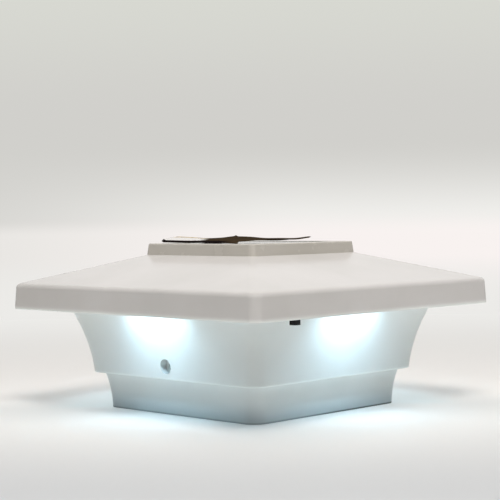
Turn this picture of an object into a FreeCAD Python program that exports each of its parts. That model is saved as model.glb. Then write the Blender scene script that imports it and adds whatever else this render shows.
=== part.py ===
import FreeCAD, Part
import math
import os
import re
import Sketcher
from FreeCAD import Placement, Rotation, Vector

# Solar deck post cap light, millimetres. +Z is up, and z = 0 is the collar's foot. The screw holes are on
# the -Y and +Y sides, and the slide switch hangs under the eave on the +X side.

SIZES = [
    # post socket and collar
    ("post_side", 127.0), ("post_corner", 6.3), ("post_gap", 0.8), ("collar_wall", 2.0),
    ("lower_flare", 3.1), ("lower_arc", 96.0), ("ledge_z", 22.6), ("ledge_step", 4.9),
    ("upper_flare", 11.1), ("upper_arc", 135.0), ("collar_corner", 9.7), ("lip_round", 0.8),
    ("stop_z", 46.0), ("stop_reach", 7.0), ("stop_depth", 5.0), ("rib_thick", 2.0), ("rib_spread", 34.0),
    ("fix_hole_z", 30.6), ("fix_hole_dia", 4.8), ("fix_head_dia", 9.3), ("fix_head_depth", 4.0),
    ("fix_boss_dia", 14.0), ("collar_boss_side", 9.0), ("collar_boss_inset", 8.4), ("collar_boss_deep", 14.0),
    # roof
    ("eave_reach", 23.6), ("roof_corner", 5.6), ("roof_wall", 2.4), ("skirt_z", 63.6), ("skirt_height", 16.0),
    ("skirt_draft", 0.9), ("roof_rise", 17.6), ("arris_round", 3.2), ("rim_round", 0.7),
    ("roof_boss_dia", 8.0), ("roof_boss_inset", 10.1), ("skirt_rib_thick", 1.6), ("skirt_rib_deep", 5.0),
    ("skirt_rib_at", 45.0), ("deck_hole_dia", 14.0),
    # panel frame and solar panel
    ("frame_side", 96.0), ("frame_height", 7.3), ("frame_draft", 0.8), ("frame_corner", 3.5),
    ("frame_wall", 2.4), ("frame_round", 0.8), ("deck_margin", 0.2), ("frame_floor", 1.8),
    ("frame_boss_dia", 7.0), ("frame_boss_inset", 8.5), ("frame_hole_dia", 10.0),
    ("panel_side", 72.0), ("panel_corner", 1.2), ("panel_board_thick", 1.0), ("cell_thick", 0.2),
    ("panel_cover_thick", 0.8), ("seal_wide", 0.8), ("panel_low", 0.2), ("cell_rows", 2), ("cell_columns", 6),
    ("cell_edge", 2.5), ("cell_space", 1.0),
    ("film_side", 68.0), ("film_thick", 0.3), ("film_shift", 6.4), ("film_lift", 4.2),
    # tray under the roof
    ("tray_recess", 2.1), ("tray_wall", 2.0), ("tray_gap", 0.3), ("fit_gap", 0.3), ("screw_gap", 0.05),
    # light units
    ("lens_out", 5.1), ("lens_length", 24.0), ("lens_width", 7.0), ("lens_flange", 1.5),
    ("lens_flange_thick", 1.2), ("lens_proud", 0.4), ("led_board_length", 46.0), ("led_board_width", 9.0),
    ("led_board_thick", 1.0), ("led_post_dia", 5.0), ("led_post_height", 3.8), ("led_post_inset", 3.0),
    ("led_chip_side", 3.0), ("led_chip_height", 1.0),
    # slide switch
    ("switch_out", 4.6), ("switch_along", 61.5), ("switch_travel", 3.5), ("knob_side", 4.4),
    ("knob_drop", 4.3), ("knob_foot_side", 6.4), ("knob_foot_thick", 2.0), ("switch_end", 1.9),
    ("switch_wall", 0.65), ("switch_height", 6.5), ("switch_ear", 4.5), ("switch_ear_thick", 1.5),
    ("terminal_side", 0.9), ("terminal_height", 2.0), ("terminal_space", 2.5),
    # battery box and its door
    ("cell_dia", 14.2), ("cell_length", 49.2), ("cell_button_dia", 5.5), ("cell_button_height", 1.0),
    ("cell_gap", 0.3), ("spring_space", 3.2), ("spring_wire", 0.7), ("spring_dia", 7.0),
    ("contact_thick", 0.4), ("contact_side", 10.0), ("box_wall", 1.6), ("box_flange", 5.5),
    ("box_screw_inset", 2.7), ("door_thick", 1.8), ("door_overlap", 0.4), ("hinge_drop", 2.0),
    ("hinge_out", 3.2), ("barrel_dia", 3.4), ("pin_dia", 1.8), ("pin_gap", 0.05), ("barrel_length", 8.0),
    ("barrel_at", 12.0), ("lug_thick", 2.0),
    # driver board
    ("board_length", 40.0), ("board_width", 30.0), ("board_thick", 1.6), ("board_gap", 4.25),
    ("board_post_dia", 6.0), ("board_post_height", 4.0), ("board_hole_inset", 3.5),
    ("chip_length", 5.0), ("chip_width", 4.0), ("chip_height", 1.6), ("capacitor_dia", 6.3),
    ("capacitor_height", 7.0), ("inductor_dia", 8.0), ("inductor_height", 6.0), ("winding_dia", 6.7),
    # screws and wires
    ("screw_dia", 2.8), ("screw_head_dia", 5.4), ("screw_head_height", 2.0), ("screw_length", 9.0),
    ("head_sink", 2.2), ("small_screw_dia", 2.0), ("small_head_dia", 3.8), ("small_head_height", 1.4),
    ("small_screw_length", 4.8), ("short_screw_length", 3.2), ("frame_screw_length", 6.2),
    ("hole_spare", 0.6), ("cross_wide", 0.8), ("wire_dia", 1.2), ("wire_space", 2.4), ("wire_bend", 2.2),
    ("wire_low", 8.3), ("wire_mid", 11.6), ("wire_high", 20.8),
]

doc = FreeCAD.newDocument("post_cap_light")
sheet = doc.addObject("Spreadsheet::Sheet", "dims")
for row, (alias, value) in enumerate(SIZES, start=1):
    sheet.set("A%d" % row, alias)
    sheet.set("B%d" % row, str(value))
    sheet.setAlias("B%d" % row, alias)
doc.recompute()
ALIASES = {alias for alias, value in SIZES}


def bound(formula):
    """The formula with each size read from the sheet."""
    return re.sub(r"[a-z_]+", lambda word: ("dims." if word.group() in ALIASES else "") + word.group(),
                  formula)


def mm(formula):
    """A formula's value now."""
    return float(sheet.evalExpression(bound(formula).replace("dims.", "")))


# ---- heights and half-widths that several pieces share
TRAY_UNDER = "(skirt_z + tray_recess)"
TRAY_TOP = "(skirt_z + tray_recess + tray_wall)"
ARRIS_Z = "(skirt_z + skirt_height)"
DECK_Z = "(skirt_z + skirt_height + roof_rise)"
FRAME_TOP = "(%s + frame_height)" % DECK_Z
DECK_HALF = "(frame_side / 2 + deck_margin)"
SOCKET_HALF = "(post_side / 2 + post_gap)"
FOOT_HALF = "(%s + collar_wall)" % SOCKET_HALF
LEDGE_HALF = "(%s + lower_flare)" % FOOT_HALF
UPPER_HALF = "(%s + ledge_step)" % LEDGE_HALF
COLLAR_TOP_HALF = "(%s + upper_flare)" % UPPER_HALF
ROOF_HALF = "(%s + eave_reach)" % COLLAR_TOP_HALF
ARRIS_HALF = "(%s - skirt_draft)" % ROOF_HALF
SLOPE = "(roof_rise / (%s - %s))" % (ARRIS_HALF, DECK_HALF)
STEEPNESS = "sqrt(1 + %s ^ 2)" % SLOPE
TRAY_HALF = "(%s - roof_wall - skirt_draft * (tray_recess + tray_wall) / skirt_height - tray_gap)" % ROOF_HALF
ROOF_BOSS_AT = "(%s - roof_boss_inset)" % TRAY_HALF
BOX_HALF_X = "(cell_dia + cell_gap * 1.5)"
BOX_HALF_Y = "((cell_length + cell_button_height + spring_space) / 2 + contact_thick)"
CELL_Z = "(%s + cell_gap + cell_dia / 2)" % TRAY_TOP
BOX_CEILING = "(%s + cell_dia / 2 + cell_gap)" % CELL_Z
DOOR_HALF_X = "(%s + door_overlap)" % BOX_HALF_X
DOOR_HALF_Y = "(%s + door_overlap)" % BOX_HALF_Y
HINGE_X = "(0 - %s - hinge_out)" % DOOR_HALF_X
HINGE_Z = "(%s - hinge_drop)" % TRAY_UNDER
LOW_WIRES = "(%s + wire_low)" % TRAY_TOP
MID_WIRES = "(%s + wire_mid)" % TRAY_TOP
HIGH_WIRES = "(%s + wire_high)" % TRAY_TOP
BOARD_UNDER = "(%s + board_post_height)" % TRAY_TOP
BOARD_TOP = "(%s + board_thick)" % BOARD_UNDER
LED_REACH = "(%s + lens_out + lens_width / 2)" % COLLAR_TOP_HALF
LED_POST_AT = "(led_board_length / 2 - led_post_inset)"
LED_BOARD_UNDER = "(%s + led_post_height)" % TRAY_TOP
LED_BOARD_TOP = "(%s + led_board_thick)" % LED_BOARD_UNDER
PANEL_TOP = "(%s - panel_low)" % FRAME_TOP
CELLS_TOP = "(%s - panel_cover_thick)" % PANEL_TOP
PANEL_BOARD_TOP = "(%s - cell_thick)" % CELLS_TOP
PANEL_SEAT = "(%s - panel_board_thick)" % PANEL_BOARD_TOP
FRAME_BOSS_AT = "(frame_side / 2 - frame_boss_inset)"
COLLAR_BOSS_AT = "(%s - collar_boss_inset)" % COLLAR_TOP_HALF
SWITCH_TOP = "(%s + switch_height)" % TRAY_TOP
SWITCH_WIDTH = "(knob_foot_side + fit_gap + switch_wall * 2)"
SWITCH_LENGTH = "(knob_foot_side + switch_travel + fit_gap + switch_end * 2)"
SWITCH_REACH = "(%s + switch_out + %s / 2)" % (COLLAR_TOP_HALF, SWITCH_WIDTH)
SIDES = (("front", 0), ("right", 90), ("rear", 180), ("left", 270))
CORNERS = ((1, 1), (-1, 1), (-1, -1), (1, -1))


# ---- drawing helpers
def plane(body, role):
    return next(item for item in body.Origin.OriginFeatures if item.Role == role)


def new_body(label):
    body = doc.addObject("PartDesign::Body", label)
    body.Label = label
    return body


def sketch(body, role="XY_Plane", height="0"):
    drawing = body.newObject("Sketcher::SketchObject", "sketch")
    drawing.AttachmentSupport = [(plane(body, role), "")]
    drawing.MapMode = "FlatFace"
    drawing.setExpression("AttachmentOffset.Base.z", bound(height))
    return drawing


def dimension(drawing, formula, *constraint):
    """One dimension of a sketch, bound to a formula."""
    index = drawing.addConstraint(Sketcher.Constraint(*constraint, mm(formula)))
    drawing.setExpression("Constraints[%d]" % index, bound(formula))


def rounded_rectangle(drawing, width, depth, corner, centre=("0", "0")):
    radius = mm(corner)
    middle_x, middle_y = mm(centre[0]), mm(centre[1])
    reach_x, reach_y = mm(width) / 2 - radius, mm(depth) / 2 - radius
    turns = ((-1, -1, 180), (1, -1, 270), (1, 1, 0), (-1, 1, 90))
    arcs = []
    for side_x, side_y, start in turns:
        middle = Vector(middle_x + side_x * reach_x, middle_y + side_y * reach_y, 0)
        circle = Part.Circle(middle, Vector(0, 0, 1), radius)
        arcs.append(drawing.addGeometry(
            Part.ArcOfCircle(circle, math.radians(start), math.radians(start + 90)), False))
    lines = []
    for arc, following in zip(arcs, arcs[1:] + arcs[:1]):
        ends = drawing.Geometry[arc].EndPoint, drawing.Geometry[following].StartPoint
        line = drawing.addGeometry(Part.LineSegment(*ends), False)
        drawing.addConstraint(Sketcher.Constraint("Tangent", arc, 2, line, 1))
        drawing.addConstraint(Sketcher.Constraint("Tangent", line, 2, following, 1))
        lines.append(line)
    drawing.addConstraint(Sketcher.Constraint("Horizontal", lines[0]))
    drawing.addConstraint(Sketcher.Constraint("Vertical", lines[1]))
    for arc in arcs[1:]:
        drawing.addConstraint(Sketcher.Constraint("Equal", arcs[0], arc))
    dimension(drawing, corner, "Radius", arcs[0])
    for arc, side in ((arcs[0], "-"), (arcs[2], "+")):
        dimension(drawing, "%s %s (%s / 2 - %s)" % (centre[0], side, width, corner), "DistanceX", arc, 3)
        dimension(drawing, "%s %s (%s / 2 - %s)" % (centre[1], side, depth, corner), "DistanceY", arc, 3)


def polygon(drawing, points):
    corners = [Vector(mm(x), mm(y), 0) for x, y in points]
    lines = [drawing.addGeometry(Part.LineSegment(one, other), False)
             for one, other in zip(corners, corners[1:] + corners[:1])]
    for line, following in zip(lines, lines[1:] + lines[:1]):
        drawing.addConstraint(Sketcher.Constraint("Coincident", line, 2, following, 1))
    for line, (x, y) in zip(lines, points):
        dimension(drawing, x, "DistanceX", line, 1)
        dimension(drawing, y, "DistanceY", line, 1)


def rectangle(drawing, width, depth, centre=("0", "0")):
    x, y = centre
    polygon(drawing, [("%s - %s / 2" % (x, width), "%s - %s / 2" % (y, depth)),
                      ("%s + %s / 2" % (x, width), "%s - %s / 2" % (y, depth)),
                      ("%s + %s / 2" % (x, width), "%s + %s / 2" % (y, depth)),
                      ("%s - %s / 2" % (x, width), "%s + %s / 2" % (y, depth))])


def circle(drawing, diameter, centre=("0", "0")):
    middle = Vector(mm(centre[0]), mm(centre[1]), 0)
    ring = drawing.addGeometry(Part.Circle(middle, Vector(0, 0, 1), mm(diameter) / 2), False)
    dimension(drawing, "%s / 2" % diameter, "Radius", ring)
    dimension(drawing, centre[0], "DistanceX", ring, 3)
    dimension(drawing, centre[1], "DistanceY", ring, 3)


def pad(body, drawing, length, both_ways=False, reverse=False, taper=None):
    feature = body.newObject("PartDesign::Pad", "pad")
    feature.Profile = drawing
    feature.setExpression("Length", bound(length))
    feature.SideType = "Symmetric" if both_ways else "One side"
    feature.Reversed = reverse
    if taper:
        feature.setExpression("TaperAngle", bound(taper))
    doc.recompute()
    return feature


def pocket(body, drawing, depth, both_ways=False, reverse=False):
    """A pocket has to take something away, or its direction is wrong."""
    before = body.Shape.Volume
    feature = body.newObject("PartDesign::Pocket", "pocket")
    feature.Profile = drawing
    feature.setExpression("Length", bound(depth))
    feature.SideType = "Symmetric" if both_ways else "One side"
    feature.Reversed = reverse
    doc.recompute()
    if not body.Shape.Volume < before - 0.01:
        raise ValueError("%s: a pocket cuts nothing" % body.Label)
    return feature


def slab(label, width, depth, thickness, height, corner=None, centre=("0", "0")):
    """A flat plate: a pad that rises from a height."""
    body = new_body(label)
    drawing = sketch(body, height=height)
    if corner:
        rounded_rectangle(drawing, width, depth, corner, centre)
    else:
        rectangle(drawing, width, depth, centre)
    pad(body, drawing, thickness)
    return body


def combine(kind, label, *members):
    """Part booleans: Cut takes two members, MultiFuse and MultiCommon take any number."""
    joined = doc.addObject("Part::" + kind, label)
    joined.Label = label
    if kind == "Cut":
        joined.Base, joined.Tool = members
    else:
        joined.Shapes = list(members)
    doc.recompute()
    return joined


def rounded_edges(label, base, radius, chosen):
    """A Part fillet along the edges that chosen() picks."""
    fillet = doc.addObject("Part::Fillet", label)
    fillet.Base = base
    fillet.Edges = [(number, radius, radius)
                    for number, edge in enumerate(base.Shape.Edges, start=1) if chosen(edge)]
    doc.recompute()
    return fillet


def solid_feature(label, shape):
    feature = doc.addObject("Part::Feature", label)
    feature.Label = label
    feature.Shape = shape
    feature.Placement = Placement()
    return feature


def at_height(edge, height):
    box = edge.BoundBox
    return abs(box.ZMin - height) < 0.01 and abs(box.ZMax - height) < 0.01


# ---- collar: two flared tiers that slip over the post
def hollow_arc(drawing, foot, top, bend, side):
    """An arc from the foot to the top of a side, hollow towards the outside. Side is 1 or -1."""
    low = Vector(side * mm(foot[0]), mm(foot[1]), 0)
    high = Vector(side * mm(top[0]), mm(top[1]), 0)
    chord = high - low
    outward = Vector(side * chord.y, -side * chord.x, 0).normalize()
    middle = low + chord / 2 + outward * math.sqrt(mm(bend) ** 2 - (chord.Length / 2) ** 2)
    ring = Part.Circle(middle, Vector(0, 0, 1), mm(bend))
    start, finish = (high, low) if side > 0 else (low, high)
    first = math.atan2(start.y - middle.y, start.x - middle.x)
    last = math.atan2(finish.y - middle.y, finish.x - middle.x)
    arc = drawing.addGeometry(Part.ArcOfCircle(ring, first, last), False)
    foot_end, top_end = (2, 1) if side > 0 else (1, 2)
    dimension(drawing, bend, "Radius", arc)
    for end, (x, z) in ((foot_end, foot), (top_end, top)):
        dimension(drawing, "%d * %s" % (side, x), "DistanceX", arc, end)
        dimension(drawing, z, "DistanceY", arc, end)
    return arc, foot_end, top_end


def flared_tier(label, foot, top, bend, corner):
    """A square block with hollow sides: the side's arc runs both ways, and the mitres are rounded."""
    forms = []
    for role in ("XZ_Plane", "YZ_Plane"):
        body = new_body("%s_%s" % (label, role[:2].lower()))
        drawing = sketch(body, role)
        left = hollow_arc(drawing, foot, top, bend, -1)
        right = hollow_arc(drawing, foot, top, bend, 1)
        for end in (1, 2):
            points = [drawing.getPoint(side[0], side[end]) for side in (left, right)]
            line = drawing.addGeometry(Part.LineSegment(*points), False)
            drawing.addConstraint(Sketcher.Constraint("Coincident", line, 1, left[0], left[end]))
            drawing.addConstraint(Sketcher.Constraint("Coincident", line, 2, right[0], right[end]))
        doc.recompute()
        pad(body, drawing, "%s * 2 + collar_wall" % top[0], both_ways=True)
        forms.append(body)
    block = combine("MultiCommon", label + "_block", *forms)
    return rounded_edges(label, block, mm(corner), upright_mitre)


def upright_mitre(edge):
    """An edge where two neighbouring sides meet."""
    ends = [vertex.Point for vertex in edge.Vertexes]
    on_diagonal = all(abs(abs(end.x) - abs(end.y)) < 0.01 for end in ends)
    return on_diagonal and edge.BoundBox.ZLength > 1.0


def post_collar():
    lower = flared_tier("lower_tier", (FOOT_HALF, "0"), (LEDGE_HALF, "ledge_z"), "lower_arc", "collar_corner")
    upper = flared_tier("upper_tier", (UPPER_HALF, "ledge_z"), (COLLAR_TOP_HALF, TRAY_UNDER), "upper_arc",
                        "collar_corner")
    outer = combine("MultiFuse", "collar_outside", lower, upper)
    lip = rounded_edges("collar_lip", outer, mm("lip_round"), is_lip)
    shelf = "(ledge_z + collar_wall)"
    socket = flared_tier("socket", (SOCKET_HALF, "0"), ("(%s - collar_wall)" % LEDGE_HALF, shelf),
                         "lower_arc", "post_corner + post_gap")
    chamber = flared_tier("chamber", ("(%s - collar_wall)" % UPPER_HALF, shelf),
                          ("(%s - collar_wall)" % COLLAR_TOP_HALF, TRAY_UNDER), "upper_arc",
                          "collar_corner - collar_wall")
    hollow = combine("MultiFuse", "collar_hollow", socket, chamber)
    wall = combine("Cut", "collar_wall_shell", lip, hollow)
    inside = combine("MultiFuse", "collar_inside", post_ribs(), fixing_bosses(), collar_corner_bosses())
    trimmed = combine("MultiCommon", "collar_inside_trimmed", inside, lip)
    moulding = combine("MultiFuse", "collar_moulding", wall, trimmed)
    return combine("Cut", "post_collar", moulding, collar_holes())


def is_lip(edge):
    box = edge.BoundBox
    reach = max(box.XMax, box.YMax, -box.XMin, -box.YMin)
    return at_height(edge, mm("ledge_z")) and reach > mm(LEDGE_HALF) + 1


def post_ribs():
    """Fins on the walls. Their lower edges guide the post, and their steps stop its top."""
    body = new_body("post_ribs")
    body.AllowCompound = True
    guide = SOCKET_HALF
    reach = "(%s - stop_reach)" % guide
    pads = []
    for side in ("", "0 - "):
        drawing = sketch(body, "YZ_Plane", side + "rib_spread")
        polygon(drawing, [
            (guide, "ledge_z"), (COLLAR_TOP_HALF, "ledge_z"),
            (COLLAR_TOP_HALF, "%s - collar_wall" % TRAY_UNDER),
            ("%s + stop_reach" % guide, "%s - collar_wall" % TRAY_UNDER), (reach, "stop_z + stop_depth"),
            (reach, "stop_z"), (guide, "stop_z")])
        pads.append(pad(body, drawing, "rib_thick", both_ways=True))
    around(body, pads, 4)
    return body


def around(body, features, count):
    pattern = body.newObject("PartDesign::PolarPattern", "around")
    pattern.Originals = features
    pattern.Axis = (plane(body, "Z_Axis"), [""])
    pattern.Angle = 360
    pattern.Occurrences = count
    body.Tip = pattern
    doc.recompute()
    return pattern


def fixing_bosses():
    body = new_body("fixing_bosses")
    body.AllowCompound = True
    drawing = sketch(body, "XZ_Plane", SOCKET_HALF)
    circle(drawing, "fix_boss_dia", ("0", "fix_hole_z"))
    boss = pad(body, drawing, "%s - %s" % (COLLAR_TOP_HALF, SOCKET_HALF))
    around(body, [boss], 2)
    return body


def collar_corner_bosses():
    body = new_body("collar_corner_bosses")
    body.AllowCompound = True
    drawing = sketch(body, height="%s - collar_boss_deep" % TRAY_UNDER)
    rectangle(drawing, "collar_boss_side", "collar_boss_side", (COLLAR_BOSS_AT, COLLAR_BOSS_AT))
    boss = pad(body, drawing, "collar_boss_deep")
    around(body, [boss], 4)
    return body


def collar_holes():
    """Two recessed holes for the post screws, and four pilot holes for the tray's screws."""
    body = new_body("collar_holes")
    body.AllowCompound = True
    bore = sketch(body, "XZ_Plane", "%s - stop_reach" % SOCKET_HALF)
    circle(bore, "fix_hole_dia", ("0", "fix_hole_z"))
    through = pad(body, bore, "%s - %s + stop_reach" % (COLLAR_TOP_HALF, SOCKET_HALF))
    recess = sketch(body, "XZ_Plane", "%s - fix_head_depth" % UPPER_HALF)
    circle(recess, "fix_head_dia", ("0", "fix_hole_z"))
    seat = pad(body, recess, "%s - %s + fix_head_depth" % (COLLAR_TOP_HALF, UPPER_HALF))
    around(body, [through, seat], 2)
    pilots = new_body("collar_pilots")
    pilots.AllowCompound = True
    drawing = sketch(pilots, height="%s - screw_length" % TRAY_UNDER)
    circle(drawing, "screw_dia + screw_gap * 2", (COLLAR_BOSS_AT, COLLAR_BOSS_AT))
    around(pilots, [pad(pilots, drawing, "screw_length")], 4)
    return combine("MultiFuse", "collar_cuts", body, pilots)


# ---- roof: low pyramid with a skirt
def pyramid(label, levels):
    """A ruled loft through rounded squares, each given as its half-width, corner radius and height."""
    sections = []
    for half, corner, height in levels:
        drawing = doc.addObject("Sketcher::SketchObject", label + "_section")
        drawing.setExpression("Placement.Base.z", bound(height))
        rounded_rectangle(drawing, "(%s * 2)" % half, "(%s * 2)" % half, corner)
        sections.append(drawing)
    loft = doc.addObject("Part::Loft", label)
    loft.Sections = sections
    loft.Solid = True
    loft.Ruled = True
    doc.recompute()
    return loft


def roof_shell():
    outside = pyramid("roof_outside", [(ROOF_HALF, "roof_corner", "skirt_z"),
                                       (ARRIS_HALF, "roof_corner", ARRIS_Z),
                                       (DECK_HALF, "frame_corner", DECK_Z)])
    arris = rounded_edges("roof_arris", outside, mm("arris_round"), lambda edge: at_height(edge, mm(ARRIS_Z)))
    rim = rounded_edges("roof_rim", arris, mm("rim_round"), lambda edge: at_height(edge, mm("skirt_z")))
    inner_corner = "(roof_corner - roof_wall)"
    inner_arris_half = "(%s - roof_wall)" % ARRIS_HALF
    inner_arris_z = "(%s + roof_wall * %s - roof_wall * %s)" % (ARRIS_Z, SLOPE, STEEPNESS)
    inner_deck_half = "(%s - roof_wall * (%s - 1) / %s)" % (DECK_HALF, STEEPNESS, SLOPE)
    inside = pyramid("roof_inside", [("(%s - roof_wall)" % ROOF_HALF, inner_corner, "skirt_z"),
                                     (inner_arris_half, inner_corner, inner_arris_z),
                                     (inner_deck_half, inner_corner, "(%s - roof_wall)" % DECK_Z)])
    shell = combine("Cut", "roof_hollow", rim, inside)
    posts = combine("MultiCommon", "roof_posts_trimmed", roof_posts(), arris)
    moulding = combine("MultiFuse", "roof_moulding", shell, posts)
    return combine("Cut", "roof_shell", moulding, roof_holes())


def roof_posts():
    """Screw bosses in the corners and small ribs along the skirt. The tray seats on them all."""
    bosses = new_body("roof_bosses")
    bosses.AllowCompound = True
    drawing = sketch(bosses, height="%s + head_sink" % TRAY_TOP)
    circle(drawing, "roof_boss_dia", (ROOF_BOSS_AT, ROOF_BOSS_AT))
    around(bosses, [pad(bosses, drawing, "%s - %s" % (DECK_Z, TRAY_TOP))], 4)
    ribs = new_body("skirt_ribs")
    ribs.AllowCompound = True
    pads = []
    for side in ("", "0 - "):
        drawing = sketch(ribs, height=TRAY_TOP)
        rectangle(drawing, "(skirt_rib_deep + roof_wall)", "skirt_rib_thick",
                  ("(%s - skirt_rib_deep / 2)" % TRAY_HALF, side + "skirt_rib_at"))
        pads.append(pad(ribs, drawing, "%s - %s" % (DECK_Z, TRAY_TOP)))
    around(ribs, pads, 4)
    return combine("MultiFuse", "roof_posts", bosses, ribs)


def roof_holes():
    pilots = new_body("roof_pilots")
    pilots.AllowCompound = True
    drawing = sketch(pilots, height="%s + head_sink" % TRAY_TOP)
    circle(drawing, "screw_dia + screw_gap * 2", (ROOF_BOSS_AT, ROOF_BOSS_AT))
    around(pilots, [pad(pilots, drawing, "screw_length")], 4)
    deck = new_body("deck_holes")
    deck.AllowCompound = True
    middle = sketch(deck, height="%s - roof_wall * 2" % DECK_Z)
    circle(middle, "deck_hole_dia")
    pad(deck, middle, "roof_wall * 3")
    screws = sketch(deck, height="%s - roof_wall * 2" % DECK_Z)
    circle(screws, "small_screw_dia + screw_gap * 4", (FRAME_BOSS_AT, FRAME_BOSS_AT))
    around(deck, [pad(deck, screws, "roof_wall * 3")], 4)
    return combine("MultiFuse", "roof_cuts", pilots, deck)


# ---- panel frame and solar panel
def panel_frame():
    form = pyramid("frame_outside", [("(frame_side / 2)", "frame_corner", DECK_Z),
                                     ("(frame_side / 2 - frame_draft)", "frame_corner", FRAME_TOP)])
    rounded = rounded_edges("frame_rounded", form, mm("frame_round"),
                            lambda edge: at_height(edge, mm(FRAME_TOP)))
    under = "(%s - frame_floor)" % PANEL_SEAT
    hollow = slab("frame_hollow", "(frame_side - frame_wall * 2)", "(frame_side - frame_wall * 2)",
                  "%s - %s" % (under, DECK_Z), DECK_Z, "frame_corner / 2")
    recess_side = "(panel_side + seal_wide * 2)"
    recess = slab("frame_recess", recess_side, recess_side, "frame_height", PANEL_SEAT,
                  "(panel_corner + seal_wide)")
    cable_hole = new_body("frame_cable_hole")
    drawing = sketch(cable_hole, height=DECK_Z)
    circle(drawing, "frame_hole_dia")
    pad(cable_hole, drawing, "frame_height")
    bosses = new_body("frame_bosses")
    bosses.AllowCompound = True
    drawing = sketch(bosses, height=DECK_Z)
    circle(drawing, "frame_boss_dia", (FRAME_BOSS_AT, FRAME_BOSS_AT))
    around(bosses, [pad(bosses, drawing, "%s - %s" % (PANEL_SEAT, DECK_Z))], 4)
    pilots = new_body("frame_pilots")
    pilots.AllowCompound = True
    drawing = sketch(pilots, height=DECK_Z)
    circle(drawing, "small_screw_dia + screw_gap * 2", (FRAME_BOSS_AT, FRAME_BOSS_AT))
    around(pilots, [pad(pilots, drawing, "frame_screw_length - roof_wall + screw_gap")], 4)
    open_form = combine("Cut", "frame_open", rounded, hollow)
    bossed = combine("MultiFuse", "frame_bossed", open_form, bosses)
    cuts = combine("MultiFuse", "frame_cuts", recess, cable_hole, pilots)
    return combine("Cut", "panel_frame", bossed, cuts)


def panel_seal():
    body = new_body("panel_seal")
    drawing = sketch(body, height=PANEL_SEAT)
    outer = "(panel_side + seal_wide * 2)"
    rounded_rectangle(drawing, outer, outer, "(panel_corner + seal_wide)")
    rounded_rectangle(drawing, "panel_side", "panel_side", "panel_corner")
    pad(body, drawing, "%s - %s" % (PANEL_TOP, PANEL_SEAT))
    return body


def solar_cells():
    """Cut silicon strips in two rows."""
    body = new_body("solar_cells")
    body.AllowCompound = True
    columns, rows = round(mm("cell_columns")), round(mm("cell_rows"))
    inside = "(panel_side - cell_edge * 2)"
    strip = "((%s + cell_space) / cell_columns - cell_space)" % inside
    tall = "((%s + cell_space) / cell_rows - cell_space)" % inside
    drawing = sketch(body, height=PANEL_BOARD_TOP)
    rectangle(drawing, strip, tall,
              ("(%s / 2 - %s / 2)" % (strip, inside), "(%s / 2 - %s / 2)" % (tall, inside)))
    first = pad(body, drawing, "cell_thick")
    pattern = body.newObject("PartDesign::MultiTransform", "rows_and_columns")
    pattern.Originals = [first]
    steps = []
    for role, spacing, count in (("X_Axis", strip, columns), ("Y_Axis", tall, rows)):
        step = body.newObject("PartDesign::LinearPattern", "step")
        step.Direction = (plane(body, role), [""])
        step.setExpression("Length", bound("(%s + cell_space) * %d" % (spacing, count - 1)))
        step.Occurrences = count
        steps.append(step)
    pattern.Transformations = steps
    body.Tip = pattern
    doc.recompute()
    return body


def panel_film():
    """A peeling protective sheet: it bows up between two edges that lie on the panel and its frame."""
    body = new_body("panel_film")
    drawing = sketch(body, "XZ_Plane", "film_shift")
    ends = ["(0 - film_side / 2 - film_shift)", "(film_side / 2 - film_shift)"]
    bend = "((film_side ^ 2 / 4 + film_lift ^ 2) / (2 * film_lift))"
    arcs = []
    for height in (FRAME_TOP, "(%s + film_thick)" % FRAME_TOP):
        middle = Vector(-mm("film_shift"), mm(height) + mm("film_lift") - mm(bend), 0)
        spread = math.asin(mm("film_side") / 2 / mm(bend))
        ring = Part.Circle(middle, Vector(0, 0, 1), mm(bend))
        arc = drawing.addGeometry(Part.ArcOfCircle(ring, math.pi / 2 - spread, math.pi / 2 + spread), False)
        dimension(drawing, bend, "Radius", arc)
        for point, x in ((1, ends[1]), (2, ends[0])):
            dimension(drawing, x, "DistanceX", arc, point)
            dimension(drawing, height, "DistanceY", arc, point)
        arcs.append(arc)
    for point in (1, 2):
        line = drawing.addGeometry(Part.LineSegment(*[drawing.getPoint(arc, point) for arc in arcs]), False)
        drawing.addConstraint(Sketcher.Constraint("Coincident", line, 1, arcs[0], point))
        drawing.addConstraint(Sketcher.Constraint("Coincident", line, 2, arcs[1], point))
    pad(body, drawing, "film_side", both_ways=True)
    return body


# ---- tray: the soffit that closes the roof and carries everything inside it
SWITCH_MIDDLE = "(0 - switch_along - switch_travel / 2)"
EAR_AT = "((%s + switch_ear) / 2)" % SWITCH_LENGTH
LUG_AT = "(barrel_at + barrel_length / 2 + fit_gap / 2 + lug_thick / 2)"
BOX_SCREW_X = "(%s + box_wall + box_flange - box_screw_inset)" % BOX_HALF_X
BOX_SCREW_Y = "(%s + box_wall + box_flange - box_screw_inset)" % BOX_HALF_Y
BOARD_AT = "(%s + box_wall + box_flange + board_gap + board_length / 2)" % BOX_HALF_X
BOARD_HOLE_X = "(board_length / 2 - board_hole_inset)"
BOARD_HOLE_Y = "(board_width / 2 - board_hole_inset)"


def four(x, y, centre="0"):
    """The four corners of a rectangle about a centre on the X axis."""
    return [("%s + %d * %s" % (centre, side_x, x), "%d * %s" % (side_y, y)) for side_x, side_y in CORNERS]


def round_pads(body, height, length, diameter, places):
    drawing = sketch(body, height=height)
    for place in places:
        circle(drawing, diameter, place)
    return pad(body, drawing, length)


def round_pockets(body, height, depth, diameter, places):
    """Holes that go down from a height."""
    drawing = sketch(body, height=height)
    for place in places:
        circle(drawing, diameter, place)
    return pocket(body, drawing, depth)


def quarter_turns(reach, along):
    """Places on the four sides, from one given by its reach from the middle and its offset along the side."""
    return [(along, "0 - %s" % reach), (reach, along),
            ("0 - %s" % along, reach), ("0 - %s" % reach, "0 - %s" % along)]


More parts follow.
